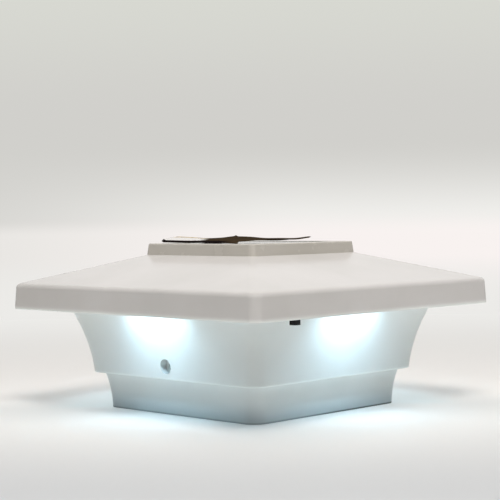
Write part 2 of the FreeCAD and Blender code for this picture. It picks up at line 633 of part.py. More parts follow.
def under_tray():
    body = new_body("under_tray")
    drawing = sketch(body, height=TRAY_UNDER)
    rounded_rectangle(drawing, "(%s * 2)" % TRAY_HALF, "(%s * 2)" % TRAY_HALF,
                      "(roof_corner - roof_wall - tray_gap)")
    pad(body, drawing, "tray_wall")
    roof_screws = four(ROOF_BOSS_AT, ROOF_BOSS_AT)
    led_posts = quarter_turns(LED_REACH, LED_POST_AT)
    led_posts += quarter_turns(LED_REACH, "(0 - %s)" % LED_POST_AT)
    board_posts = four(BOARD_HOLE_X, BOARD_HOLE_Y, BOARD_AT)
    box_screws = four(BOX_SCREW_X, BOX_SCREW_Y)
    ear_screws = [(SWITCH_REACH, "%s + %d * %s" % (SWITCH_MIDDLE, side, EAR_AT)) for side in (1, -1)]
    cup = "(screw_head_dia + hole_spare + tray_wall)"
    round_pads(body, TRAY_TOP, "head_sink", cup, roof_screws)
    round_pads(body, TRAY_TOP, "led_post_height", "led_post_dia", led_posts)
    round_pads(body, TRAY_TOP, "board_post_height", "board_post_dia", board_posts)
    for side in ("", "0 - "):
        lug = sketch(body, "XZ_Plane", side + LUG_AT)
        reach = "(barrel_dia / 2 + lug_thick / 4)"
        left, right = ("(%s %s %s)" % (HINGE_X, sign, reach) for sign in "-+")
        foot, root = "(%s - %s)" % (HINGE_Z, reach), "(%s + tray_wall / 2)" % TRAY_UNDER
        polygon(lug, [(left, foot), (right, foot), (right, root), (left, root)])
        pad(body, lug, "lug_thick", both_ways=True)
    opening = sketch(body, height="%s + board_post_height" % TRAY_TOP)
    rectangle(opening, "(%s * 2 + fit_gap * 2)" % DOOR_HALF_X, "(%s * 2 + fit_gap * 2)" % DOOR_HALF_Y)
    pocket(body, opening, "tray_wall + board_post_height * 2")
    windows = sketch(body, height=TRAY_TOP)
    for number, (x, y) in enumerate(quarter_turns(LED_REACH, "0")):
        sizes = "(lens_length + fit_gap)", "(lens_width + fit_gap)"
        rectangle(windows, sizes[number % 2], sizes[1 - number % 2], (x, y))
    rectangle(windows, "(knob_side + fit_gap * 2)", "(knob_side + switch_travel + fit_gap * 2)",
              (SWITCH_REACH, SWITCH_MIDDLE))
    pocket(body, windows, "tray_wall")
    clearance = "(screw_dia + screw_gap * 4)"
    round_pockets(body, TRAY_TOP, "tray_wall", clearance, four(COLLAR_BOSS_AT, COLLAR_BOSS_AT))
    round_pockets(body, "%s + head_sink" % TRAY_TOP, "tray_wall + head_sink", clearance, roof_screws)
    round_pockets(body, "%s + head_sink" % TRAY_UNDER, "head_sink", "(screw_head_dia + hole_spare)",
                  roof_screws)
    pilot = "(small_screw_dia + screw_gap * 2)"
    round_pockets(body, LED_BOARD_UNDER, "small_screw_length - led_board_thick + screw_gap", pilot, led_posts)
    round_pockets(body, BOARD_UNDER, "small_screw_length - board_thick + screw_gap", pilot, board_posts)
    round_pockets(body, TRAY_TOP, "tray_wall", pilot, box_screws + ear_screws)
    bore = sketch(body, "XZ_Plane", "0 - %s - lug_thick" % LUG_AT)
    circle(bore, "(pin_dia + pin_gap * 2)", (HINGE_X, HINGE_Z))
    pocket(body, bore, "%s * 2 + lug_thick * 2" % LUG_AT, reverse=True)
    return body


# ---- light units, one under each side of the roof
def turned(body, angle):
    body.Placement = Placement(Vector(0, 0, 0), Rotation(Vector(0, 0, 1), angle))
    doc.recompute()
    return body


LED_PLACE = ("0", "(0 - %s)" % LED_REACH)


def led_lens(side, angle):
    body = slab("led_lens_" + side, "lens_length", "lens_width", "tray_wall + lens_proud",
                "%s - lens_proud" % TRAY_UNDER, centre=LED_PLACE)
    flange = sketch(body, height=TRAY_TOP)
    rounded_rectangle(flange, "(lens_length + lens_flange * 2)", "(lens_width + lens_flange * 2)",
                      "lens_flange", LED_PLACE)
    pad(body, flange, "lens_flange_thick")
    return turned(body, angle)


def led_board(side, angle):
    body = slab("led_board_" + side, "led_board_length", "led_board_width", "led_board_thick",
                LED_BOARD_UNDER, centre=LED_PLACE)
    round_pockets(body, LED_BOARD_TOP, "led_board_thick", "(small_screw_dia + screw_gap * 4)",
                  [(sign + LED_POST_AT, LED_PLACE[1]) for sign in ("", "0 - ")])
    return turned(body, angle)


def led_chip(side, angle):
    body = slab("led_chip_" + side, "led_chip_side", "led_chip_side", "led_chip_height",
                "%s - led_chip_height" % LED_BOARD_UNDER, centre=LED_PLACE)
    return turned(body, angle)


# ---- slide switch
def switch_housing():
    """The knob's foot slides in a chamber that is open below."""
    middle = (SWITCH_REACH, SWITCH_MIDDLE)
    body = slab("switch_housing", SWITCH_WIDTH, SWITCH_LENGTH, "switch_height", TRAY_TOP, centre=middle)
    ears = sketch(body, height=TRAY_TOP)
    rectangle(ears, SWITCH_WIDTH, "(%s + switch_ear * 2)" % SWITCH_LENGTH, middle)
    pad(body, ears, "switch_ear_thick")
    chamber = sketch(body, height="%s + knob_foot_thick + fit_gap * 2" % TRAY_TOP)
    rectangle(chamber, "(knob_foot_side + fit_gap)", "(knob_foot_side + switch_travel + fit_gap)", middle)
    pocket(body, chamber, "knob_foot_thick + fit_gap * 2")
    round_pockets(body, "%s + switch_ear_thick" % TRAY_TOP, "switch_ear_thick",
                  "(small_screw_dia + screw_gap * 4)",
                  [(SWITCH_REACH, "%s + %d * %s" % (SWITCH_MIDDLE, side, EAR_AT)) for side in (1, -1)])
    return body


def switch_knob():
    centre = (SWITCH_REACH, "(0 - switch_along)")
    seat = "(%s + screw_gap * 2)" % TRAY_TOP
    body = slab("switch_knob", "knob_side", "knob_side", "%s - skirt_z + knob_drop" % seat,
                "skirt_z - knob_drop", centre=centre)
    foot = sketch(body, height=seat)
    rectangle(foot, "knob_foot_side", "knob_foot_side", centre)
    pad(body, foot, "knob_foot_thick")
    return body


def switch_terminals():
    body = new_body("switch_terminals")
    body.AllowCompound = True
    drawing = sketch(body, height=SWITCH_TOP)
    for step in (-1, 0, 1):
        rectangle(drawing, "terminal_side", "terminal_side",
                  (SWITCH_REACH, "(%s + %d * terminal_space)" % (SWITCH_MIDDLE, step)))
    pad(body, drawing, "terminal_height")
    return body


# ---- battery box, cells and door
CELL_X = "(cell_dia / 2 + cell_gap / 2)"
CELL_FACE_Y = "(%s - contact_thick - cell_button_height)" % BOX_HALF_Y


def battery_box():
    outer = ["(%s * 2 + box_wall * 2)" % half for half in (BOX_HALF_X, BOX_HALF_Y)]
    tall = "%s - %s + box_wall" % (BOX_CEILING, TRAY_TOP)
    body = slab("battery_box", outer[0], outer[1], tall, TRAY_TOP, "box_wall")
    flange = sketch(body, height=TRAY_TOP)
    rounded_rectangle(flange, "(%s + box_flange * 2)" % outer[0], "(%s + box_flange * 2)" % outer[1],
                      "box_flange")
    pad(body, flange, "box_wall")
    chamber = sketch(body, height=BOX_CEILING)
    rectangle(chamber, "(%s * 2)" % BOX_HALF_X, "(%s * 2)" % BOX_HALF_Y)
    pocket(body, chamber, "%s - %s" % (BOX_CEILING, TRAY_TOP))
    round_pockets(body, "%s + box_wall" % TRAY_TOP, "box_wall", "(small_screw_dia + screw_gap * 4)",
                  four(BOX_SCREW_X, BOX_SCREW_Y))
    leads = sketch(body, "XZ_Plane", "0 - %s - box_wall" % BOX_HALF_Y)
    for side in (1, -1):
        circle(leads, "(wire_dia + fit_gap)", ("%d * %s" % (side, CELL_X), CELL_Z))
    pocket(body, leads, "box_wall", reverse=True)
    return body


def battery_cell(label, angle):
    """A round cell on its side, with its raised end towards +Y before it is turned."""
    body = new_body(label)
    centre = ("(0 - %s)" % CELL_X, CELL_Z)
    can = sketch(body, "XZ_Plane", "0 - %s" % CELL_FACE_Y)
    circle(can, "cell_dia", centre)
    pad(body, can, "cell_length")
    button = sketch(body, "XZ_Plane", "0 - %s - cell_button_height" % CELL_FACE_Y)
    circle(button, "cell_button_dia", centre)
    pad(body, button, "cell_button_height")
    return turned(body, angle)


def battery_contacts():
    """A bridge plate across one end, and a plate for each cell at the other."""
    body = new_body("battery_contacts")
    body.AllowCompound = True
    plates = sketch(body, "XZ_Plane", "0 - %s" % BOX_HALF_Y)
    for side in (1, -1):
        rectangle(plates, "contact_side", "contact_side", ("%d * %s" % (side, CELL_X), CELL_Z))
    pad(body, plates, "contact_thick")
    bridge = sketch(body, "XZ_Plane", "%s - contact_thick" % BOX_HALF_Y)
    rectangle(bridge, "(%s * 2 + contact_side)" % CELL_X, "contact_side", ("0", CELL_Z))
    pad(body, bridge, "contact_thick")
    return body


def battery_springs():
    """Cone springs, one behind the flat end of each cell."""
    thickness = mm("spring_wire")
    turns = 3
    climb = mm("spring_space") - thickness - mm("screw_gap") * 2
    base_radius = mm("spring_dia") / 2
    tip_radius = base_radius * 0.6
    lean = math.degrees(math.atan((base_radius - tip_radius) / climb))
    coil = Part.makeHelix(climb / turns, climb, base_radius, -lean)
    section = Part.Wire(Part.makeCircle(thickness / 2, Vector(base_radius, 0, 0), Vector(0, 1, 0)))
    spring = Part.Wire(coil.Edges).makePipeShell([section], True, True)
    spring.rotate(Vector(0, 0, 0), Vector(1, 0, 0), -90)
    base_y = mm("contact_thick") + thickness / 2 + mm("screw_gap") - mm(BOX_HALF_Y)
    spring.translate(Vector(-mm(CELL_X), base_y, mm(CELL_Z)))
    other = spring.copy()
    other.rotate(Vector(0, 0, 0), Vector(0, 0, 1), 180)
    return solid_feature("battery_springs", Part.makeCompound([spring, other]))


def battery_door():
    """A flush leaf. Two arms under it carry the hinge barrels, and three ribs give a finger its grip."""
    body = slab("battery_door", "(%s * 2)" % DOOR_HALF_X, "(%s * 2)" % DOOR_HALF_Y, "door_thick", TRAY_UNDER)
    inner = "(0 - %s)" % DOOR_HALF_X
    half_leaf = "(%s + door_thick / 2)" % TRAY_UNDER
    top, bottom = ("(%s %s barrel_dia / 2)" % (HINGE_Z, sign) for sign in "+-")
    for side in ("", "0 - "):
        arm = sketch(body, "XZ_Plane", side + "barrel_at")
        polygon(arm, [(HINGE_X, bottom), (inner + " + hinge_out * 2", TRAY_UNDER),
                      (inner + " + hinge_out * 2", half_leaf), (inner, half_leaf), (inner, top),
                      (HINGE_X, top)])
        pad(body, arm, "barrel_length", both_ways=True)
        barrel = sketch(body, "XZ_Plane", side + "barrel_at")
        circle(barrel, "barrel_dia", (HINGE_X, HINGE_Z))
        pad(body, barrel, "barrel_length", both_ways=True)
    grip = sketch(body, height="%s - door_thick / 2" % TRAY_UNDER)
    for step in (1, 2, 3):
        rectangle(grip, "(door_thick / 2)", "barrel_at",
                  ("(%s - door_thick * %d)" % (DOOR_HALF_X, step), "0"))
    pad(body, grip, "door_thick / 2")
    bore = sketch(body, "XZ_Plane", "0 - barrel_at * 2")
    circle(bore, "(pin_dia + pin_gap * 2)", (HINGE_X, HINGE_Z))
    pocket(body, bore, "barrel_at * 4", reverse=True)
    return body


def door_hinge_pin():
    body = new_body("door_hinge_pin")
    drawing = sketch(body, "XZ_Plane")
    circle(drawing, "pin_dia", (HINGE_X, HINGE_Z))
    pad(body, drawing, "%s * 2 + lug_thick" % LUG_AT, both_ways=True)
    return body


# ---- driver board
def driver_board():
    body = slab("driver_board", "board_length", "board_width", "board_thick", BOARD_UNDER,
                centre=(BOARD_AT, "0"))
    round_pockets(body, BOARD_TOP, "board_thick", "(small_screw_dia + screw_gap * 4)",
                  four(BOARD_HOLE_X, BOARD_HOLE_Y, BOARD_AT))
    return body


def controller_chip():
    """A small package with four legs on each side."""
    middle = "(%s + board_length / 8)" % BOARD_AT
    body = slab("controller_chip", "chip_length", "chip_width", "chip_height", BOARD_TOP,
                centre=(middle, "0"))
    legs = sketch(body, height=BOARD_TOP)
    for number in range(4):
        step = "(%s + (%d - 1.5) * chip_length / 4)" % (middle, number)
        rectangle(legs, "(chip_length / 10)", "(chip_width + chip_length / 2)", (step, "0"))
    pad(body, legs, "chip_height / 4")
    return body


def inductor():
    """A drum core: a winding between two flanges."""
    place = [("(%s - board_length / 8)" % BOARD_AT, "0")]
    body = new_body("inductor")
    flange = "(inductor_height / 6)"
    round_pads(body, BOARD_TOP, flange, "inductor_dia", place)
    winding = "inductor_height - %s * 2" % flange
    round_pads(body, "%s + %s" % (BOARD_TOP, flange), winding, "winding_dia", place)
    round_pads(body, "%s + inductor_height - %s" % (BOARD_TOP, flange), flange, "inductor_dia", place)
    return body


def capacitor():
    body = new_body("capacitor")
    place = [("(%s + board_length / 8)" % BOARD_AT, "(0 - board_width / 3)")]
    round_pads(body, BOARD_TOP, "capacitor_height", "capacitor_dia", place)
    return body


# ---- screws and wires
def screw(diameter, head_diameter, head_height, length):
    """A pan-head screw that points down, with its head's seat at the origin."""
    radius = mm(diameter) / 2
    head_top = mm(head_height)
    tip_length = radius * 1.5
    crown_radius = head_top * 0.45
    shank = Part.makeCylinder(radius, mm(length) - tip_length, Vector(0, 0, tip_length - mm(length)))
    point = Part.makeCone(radius / 4, radius, tip_length, Vector(0, 0, -mm(length)))
    head = Part.makeCylinder(mm(head_diameter) / 2, head_top)
    rim = [edge for edge in head.Edges if at_height(edge, head_top)]
    head = head.makeFillet(crown_radius, rim)
    slot_wide, slot_long, slot_deep = mm("cross_wide"), mm(head_diameter) * 0.6, head_top / 2
    for size_x, size_y in ((slot_wide, slot_long), (slot_long, slot_wide)):
        slot = Part.makeBox(size_x, size_y, slot_deep, Vector(-size_x / 2, -size_y / 2, head_top - slot_deep))
        head = head.cut(slot)
    return head.fuse([shank, point]).removeSplitter()


def screws(label, kind, places, upside_down=False):
    """Identical screws. A place is where a head's seat touches."""
    copies = []
    for x, y, z in places:
        copy = screw(*kind)
        if upside_down:
            copy.rotate(Vector(0, 0, 0), Vector(1, 0, 0), 180)
        copy.translate(Vector(mm(x), mm(y), mm(z)))
        copies.append(copy)
    return solid_feature(label, Part.makeCompound(copies))


LARGE = ("screw_dia", "screw_head_dia", "screw_head_height", "screw_length")
SMALL = ("small_screw_dia", "small_head_dia", "small_head_height", "small_screw_length")
SHORT = ("small_screw_dia", "small_head_dia", "small_head_height", "short_screw_length")
FRAME = ("small_screw_dia", "small_head_dia", "small_head_height", "frame_screw_length")


def lifted(places, height):
    return [(x, y, height) for x, y in places]


def all_screws():
    led_places = quarter_turns(LED_REACH, LED_POST_AT)
    led_places += quarter_turns(LED_REACH, "(0 - %s)" % LED_POST_AT)
    ears = [(SWITCH_REACH, "%s + %d * %s" % (SWITCH_MIDDLE, side, EAR_AT)) for side in (1, -1)]
    return [
        screws("roof_screws", LARGE, lifted(four(ROOF_BOSS_AT, ROOF_BOSS_AT),
                                            "%s + head_sink" % TRAY_UNDER), upside_down=True),
        screws("collar_screws", LARGE, lifted(four(COLLAR_BOSS_AT, COLLAR_BOSS_AT), TRAY_TOP)),
        screws("frame_screws", FRAME, lifted(four(FRAME_BOSS_AT, FRAME_BOSS_AT), "%s - roof_wall" % DECK_Z),
               upside_down=True),
        screws("led_screws", SMALL, lifted(led_places, LED_BOARD_TOP)),
        screws("board_screws", SMALL, lifted(four(BOARD_HOLE_X, BOARD_HOLE_Y, BOARD_AT), BOARD_TOP)),
        screws("box_screws", SHORT, lifted(four(BOX_SCREW_X, BOX_SCREW_Y), "%s + box_wall" % TRAY_TOP)),
        screws("switch_screws", SHORT, lifted(ears, "%s + switch_ear_thick" % TRAY_TOP)),
    ]


def wire(points):
    """A round wire along straight runs joined by tangent arcs."""
    corners = [Vector(*[mm(value) for value in point]) for point in points]
    bend = mm("wire_bend")
    edges = []
    start = corners[0]
    for before, corner, after in zip(corners, corners[1:], corners[2:]):
        arrive = (corner - before).normalize()
        leave = (after - corner).normalize()
        half_turn = arrive.getAngle(leave) / 2
        cut = bend * math.tan(half_turn)
        arc_start, arc_end = corner - arrive * cut, corner + leave * cut
        inward = (leave - arrive).normalize()
        arc_middle = corner + inward * (bend / math.cos(half_turn) - bend)
        edges.append(Part.LineSegment(start, arc_start).toShape())
        edges.append(Part.Arc(arc_start, arc_middle, arc_end).toShape())
        start = arc_end
    edges.append(Part.LineSegment(start, corners[-1]).toShape())
    path = Part.Wire(edges)
    section = Part.Wire(Part.makeCircle(mm("wire_dia") / 2, corners[0], corners[1] - corners[0]))
    tube = path.makePipeShell([section], True, False)
    area = math.pi * mm("wire_dia") ** 2 / 4
    if abs(tube.Volume / (area * path.Length) - 1) > 0.02:
        raise ValueError("a wire's volume doesn't match its length")
    return tube


def wire_pair(label, *routes):
    return solid_feature(label, Part.makeCompound([wire(route) for route in routes]))


def all_wires():
    side = ("(0 - wire_space / 2)", "(wire_space / 2)")
    pad_in = "(%s - board_length / 2 + wire_space * 1.7)" % BOARD_AT
    panel = [[("0", y, PANEL_SEAT), ("0", y, HIGH_WIRES), (pad_in, y, HIGH_WIRES), (pad_in, y, BOARD_TOP)]
             for y in side]
    lead_y = "(%s + box_wall + wire_bend * 3)" % BOX_HALF_Y
    plate_y = BOX_HALF_Y
    battery = []
    for number, sign in enumerate(("0 - ", "")):
        x = sign + CELL_X
        turn_y = "(%s - wire_space * %d)" % (lead_y, number)
        end_x = "(%s + wire_space * %d)" % (pad_in, 2 - number)
        end_y = "(board_width / 4)"
        battery.append([(x, plate_y, CELL_Z), (x, turn_y, CELL_Z), (end_x, turn_y, CELL_Z),
                        (end_x, end_y, CELL_Z), (end_x, end_y, BOARD_TOP)])
    terminal_top = "(%s + terminal_height)" % SWITCH_TOP
    switch = []
    for number in (0, 1):
        y = "(%s + %d * terminal_space)" % (SWITCH_MIDDLE, 1 - number)
        end_x = "(%s + board_length / 2 - wire_space * %d)" % (BOARD_AT, 3 + number)
        end_y = "(0 - board_width / 4)"
        switch.append([(SWITCH_REACH, y, terminal_top), (SWITCH_REACH, y, MID_WIRES), (end_x, y, MID_WIRES),
                       (end_x, end_y, MID_WIRES), (end_x, end_y, BOARD_TOP)])
    start_along = "(%s / 2)" % LED_POST_AT
    pairs = [wire_pair("panel_wires", *panel), wire_pair("battery_wires", *battery)]
    pairs.append(wire_pair("switch_wires", *switch))
    edge_y = "(board_width / 2 - wire_space / 2)"
    for name, sign in (("front", "0 - "), ("rear", "")):
        routes = []
        for number in (0, 1):
            x = "(%s + wire_space * %d)" % (start_along, number)
            y = "(%s%s)" % (sign, LED_REACH)
            turn_y = "(%s(%s + wire_space * %d))" % (sign, lead_y, number + 2)
            end_x = "(%s - wire_space * %d)" % (BOARD_AT, 1 - number)
            end_y = "(%s%s)" % (sign, edge_y)
            routes.append([(x, y, LED_BOARD_TOP), (x, y, LOW_WIRES), (x, turn_y, LOW_WIRES),
                           (end_x, turn_y, LOW_WIRES), (end_x, end_y, LOW_WIRES), (end_x, end_y, BOARD_TOP)])
        pairs.append(wire_pair("led_wires_" + name, *routes))
    routes = []
    for number in (0, 1):
        y = "(wire_space * %d)" % (2 + number)
        end_x = "(%s + board_length / 2 - wire_space)" % BOARD_AT
        routes.append([(LED_REACH, y, LED_BOARD_TOP), (LED_REACH, y, LOW_WIRES), (end_x, y, LOW_WIRES),
                       (end_x, y, BOARD_TOP)])
    pairs.append(wire_pair("led_wires_right", *routes))
    routes = []
    for number in (0, 1):
        y = "(%s + wire_space * %d)" % (start_along, number)
        near_x = "(0 - %s - box_wall - box_flange - wire_bend * 2 - wire_space * %d)" % (BOX_HALF_X, number)
        far_x = "(0 - %s)" % LED_REACH
        far_y = "(%s + wire_space * %d)" % (lead_y, 5 + number)
        end_x = "(%s + wire_space * %d)" % (BOARD_AT, 2 + number)
        end_y = edge_y
        routes.append([(far_x, y, LED_BOARD_TOP), (far_x, y, MID_WIRES),
                       (near_x, y, MID_WIRES), (near_x, far_y, MID_WIRES), (end_x, far_y, MID_WIRES),
                       (end_x, end_y, MID_WIRES), (end_x, end_y, BOARD_TOP)])
    pairs.append(wire_pair("led_wires_left", *routes))
    return pairs


# ---- the whole light
def all_nodes():
    nodes = [post_collar(), roof_shell(), under_tray(), panel_frame(), panel_seal()]
    nodes.append(slab("panel_board", "panel_side", "panel_side", "panel_board_thick", PANEL_SEAT,
                      "panel_corner"))
    nodes.append(solar_cells())
    nodes.append(slab("panel_cover", "panel_side", "panel_side", "panel_cover_thick", CELLS_TOP,
                      "panel_corner"))
    nodes.append(panel_film())
    for side, angle in SIDES:
        nodes += [led_lens(side, angle), led_board(side, angle), led_chip(side, angle)]
    nodes += [switch_housing(), switch_knob(), switch_terminals()]
    nodes += [battery_box(), battery_cell("battery_cell_left", 0), battery_cell("battery_cell_right", 180)]
    nodes += [battery_contacts(), battery_springs(), battery_door(), door_hinge_pin()]
    nodes += [driver_board(), controller_chip(), inductor(), capacitor()]
    return nodes + all_screws() + all_wires()


def main():
    nodes = all_nodes()
    doc.recompute()
    for item in doc.Objects:
        if "Invalid" in item.State or "Error" in item.State:
            raise ValueError("%s failed: %s" % (item.Label, item.State))
    for node in nodes:
        if node.Shape.isNull() or not node.Shape.isValid():
            raise ValueError("%s has no valid shape" % node.Label)
    os.makedirs("parts", exist_ok=True)
    for node in nodes:
        node.Shape.exportStep("parts/%s.step" % node.Label)
    print("%d sub-parts written" % len(nodes))


main()
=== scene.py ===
import bmesh
import bpy
import math
from mathutils import Matrix, Vector


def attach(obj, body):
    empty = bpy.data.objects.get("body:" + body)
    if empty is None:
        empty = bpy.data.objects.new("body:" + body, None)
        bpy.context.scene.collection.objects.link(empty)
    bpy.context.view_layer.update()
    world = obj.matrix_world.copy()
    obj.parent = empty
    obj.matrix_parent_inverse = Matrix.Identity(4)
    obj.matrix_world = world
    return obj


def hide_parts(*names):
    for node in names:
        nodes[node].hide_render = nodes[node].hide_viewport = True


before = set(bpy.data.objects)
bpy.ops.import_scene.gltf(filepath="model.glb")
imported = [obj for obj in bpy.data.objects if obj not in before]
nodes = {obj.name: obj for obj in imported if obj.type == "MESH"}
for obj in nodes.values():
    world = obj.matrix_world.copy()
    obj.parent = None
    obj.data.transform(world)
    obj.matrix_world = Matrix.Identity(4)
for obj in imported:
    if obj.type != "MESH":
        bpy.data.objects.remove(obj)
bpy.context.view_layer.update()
scene = bpy.context.scene
print("frame loaded:", len(nodes), "nodes")


def paint(red, green, blue):  # a colour as a paint chart gives it, made linear
    return tuple(part / 12.92 if part <= 0.04045 else ((part + 0.055) / 1.055) ** 2.4
                 for part in (red / 255, green / 255, blue / 255)) + (1.0,)


class Wire:  # an output socket that sums can use
    def __init__(self, finish, socket):
        self.finish = finish
        self.socket = socket

    def sum(self, operation, *values):
        return self.finish.node("ShaderNodeMath", {"operation": operation}, dict(enumerate(values)))

    def __add__(self, other):
        return self.sum("ADD", self, other)

    def __radd__(self, other):
        return self.sum("ADD", other, self)

    def __sub__(self, other):
        return self.sum("SUBTRACT", self, other)

    def __rsub__(self, other):
        return self.sum("SUBTRACT", other, self)

    def __mul__(self, other):
        return self.sum("MULTIPLY", self, other)

    def __rmul__(self, other):
        return self.sum("MULTIPLY", other, self)

    def __truediv__(self, other):
        return self.sum("DIVIDE", self, other)

    def __gt__(self, other):
        return self.sum("GREATER_THAN", self, other)

    def __lt__(self, other):
        return self.sum("LESS_THAN", self, other)

    def __abs__(self):
        return self.sum("ABSOLUTE", self)

    def least(self, other):
        return self.sum("MINIMUM", self, other)

    def most(self, other):
        return self.sum("MAXIMUM", self, other)

    def rounds(self, period):  # distance to the nearest multiple of a period
        return abs(self.sum("WRAP", self, period / 2, -period / 2))


class Finish:  # a material and its nodes
    def __init__(self, name, constants):
        self.material = bpy.data.materials.new(name)
        self.material.use_nodes = True
        self.tree = self.material.node_tree
        self.shader = self.tree.nodes["Principled BSDF"]
        self.set(constants)

    def set(self, values):
        for key, value in values.items():
            self.feed(self.shader.inputs[key], value)
        return self

    def feed(self, socket, value):
        if isinstance(value, Wire):
            self.tree.links.new(value.socket, socket)
        else:
            socket.default_value = value

    def node(self, kind, settings, values, output=0):
        made = self.tree.nodes.new(kind)
        for key, value in settings.items():
            setattr(made, key, value)
        for key, value in values.items():
            self.feed(made.inputs[key], value)
        return Wire(self, made.outputs[output])

    def place(self):
        return self.node("ShaderNodeTexCoord", {}, {}, "Object")

    def split(self, vector):
        return [self.node("ShaderNodeSeparateXYZ", {}, {"Vector": vector}, index) for index in range(3)]

    def axes(self):
        return self.split(self.place())

    def noise(self, scale, detail=2.0, roughness=0.5):
        return self.node("ShaderNodeTexNoise", {}, {"Vector": self.place(), "Scale": scale, "Detail": detail,
                                                    "Roughness": roughness})

    def flakes(self, scale, output="Distance"):
        return self.node("ShaderNodeTexVoronoi", {}, {"Vector": self.place(), "Scale": scale}, output)

    def uneven(self, rough, scale, spread, detail=2):  # a roughness that wanders
        return rough + self.noise(scale, detail) * spread

    def ramp(self, value, low, high):  # 0 at low, 1 at high, smooth between
        return self.node("ShaderNodeMapRange", {"interpolation_type": "SMOOTHSTEP"},
                         {"Value": value, "From Min": low, "From Max": high})

    def mix(self, amount, first, second):  # each colour is a wire or three paint chart values
        first, second = [part if isinstance(part, Wire) else paint(*part) for part in (first, second)]
        return self.node("ShaderNodeMix", {"data_type": "RGBA"}, {0: amount, 6: first, 7: second}, 2)

    def seen(self):  # 1 for rays that show a thing: straight, as a reflection or through glass
        straight, mirrored, through = [self.node("ShaderNodeLightPath", {}, {}, "Is %s Ray" % kind)
                                       for kind in ("Camera", "Glossy", "Transmission")]
        return straight.most(mirrored).most(through)

    def relief(self, *layers):  # each layer is a height from 0 to 1 and its depth in metres
        height = None
        for value, depth in layers:
            layer = value * (depth * 1000)
            height = layer if height is None else height + layer
        bump = self.node("ShaderNodeBump", {}, {"Height": height, "Distance": 0.001, "Strength": 1.0})
        return self.set({"Normal": bump})


# the camera, as the photograph was taken
view = {"place": (0.62354, -0.64207, 0.12061), "sensor": 36.0, "lens": 100.17,
        "right": (0.71726, 0.69669, -0.01261), "up": (-0.00739, 0.02571, 0.99964),
        "forward": (-0.69677, 0.71691, -0.02359)}
cameraData = bpy.data.cameras.new("camera")
cameraData.sensor_width = view["sensor"]
cameraData.lens = view["lens"]
camera = bpy.data.objects.new("camera", cameraData)
scene.collection.objects.link(camera)
turn = Matrix((view["right"], view["up"], [-part for part in view["forward"]])).transposed()
camera.matrix_world = Matrix.Translation(view["place"]) @ turn.to_4x4()
scene.camera = camera

# moulded white plastic; a part with a glow gets a painted highlight, given off as emission, between its two
# glow heights
whiteParts = {
    "roof": {"colour": (215, 212, 210), "shade": (206, 203, 200), "rough": 0.17, "grain": 900,
             "grainDepth": 0.0000012, "wave": 16, "waveDepth": 0.00002, "dust": 0.03,
             "glow": (118, 126, 123), "glowFrom": (0.0, 0.001), "glowTo": (0.0636, 0.0664)},
    "frame": {"colour": (201, 196, 188), "shade": (192, 187, 178), "rough": 0.24, "grain": 1100,
              "grainDepth": 0.0000014, "wave": 30, "waveDepth": 0.000003, "dust": 0.0},
    # the collar's white is brighter and bluer than the roof's; part of that is painted light, standing in for
    # the LED light on the cove
    "collar": {"colour": (238, 244, 243), "shade": (229, 235, 233), "rough": 0.34, "grain": 1300,
               "grainDepth": 0.0000022, "wave": 22, "waveDepth": 0.000015, "dust": 0.04,
               "glow": (88, 93, 92), "glowFrom": (0.0222, 0.0227), "glowTo": (0.0230, 0.0242)},
    "tray": {"colour": (236, 238, 238), "shade": (226, 228, 228), "rough": 0.46, "grain": 2200,
             "grainDepth": 0.000006, "wave": 40, "waveDepth": 0.00001, "dust": 0.04},
}
wear = {"mottle": (14, 3), "mottleSpan": (0.3, 0.75), "smear": (90, 4, 0.6), "specks": 420,
        "smearRough": 0.12, "polish": 0.04, "settle": (60, 2), "dusty": 0.58, "dustShare": 0.35,
        "dustColour": (176, 172, 162), "dustRough": 0.3, "footRough": 0.2,
        "foot": 0.0022, "footShare": 0.75, "footShadeAndWearColour": (184, 194, 196), "lowTierShade": 0.020, "contactShadowLeast": 0.5,
        "contactShadow": (0.0005, 0.0013), "paintedShadeColour": (84, 90, 86), "contactShadowTo": (-0.05, 0.03), "rightSide": 0.06,
        "holeHeight": 0.0306, "hole": 0.00466, "holeShade": 0.15, "holeFloor": 0.0681, "holeFloorShade": 0.4}


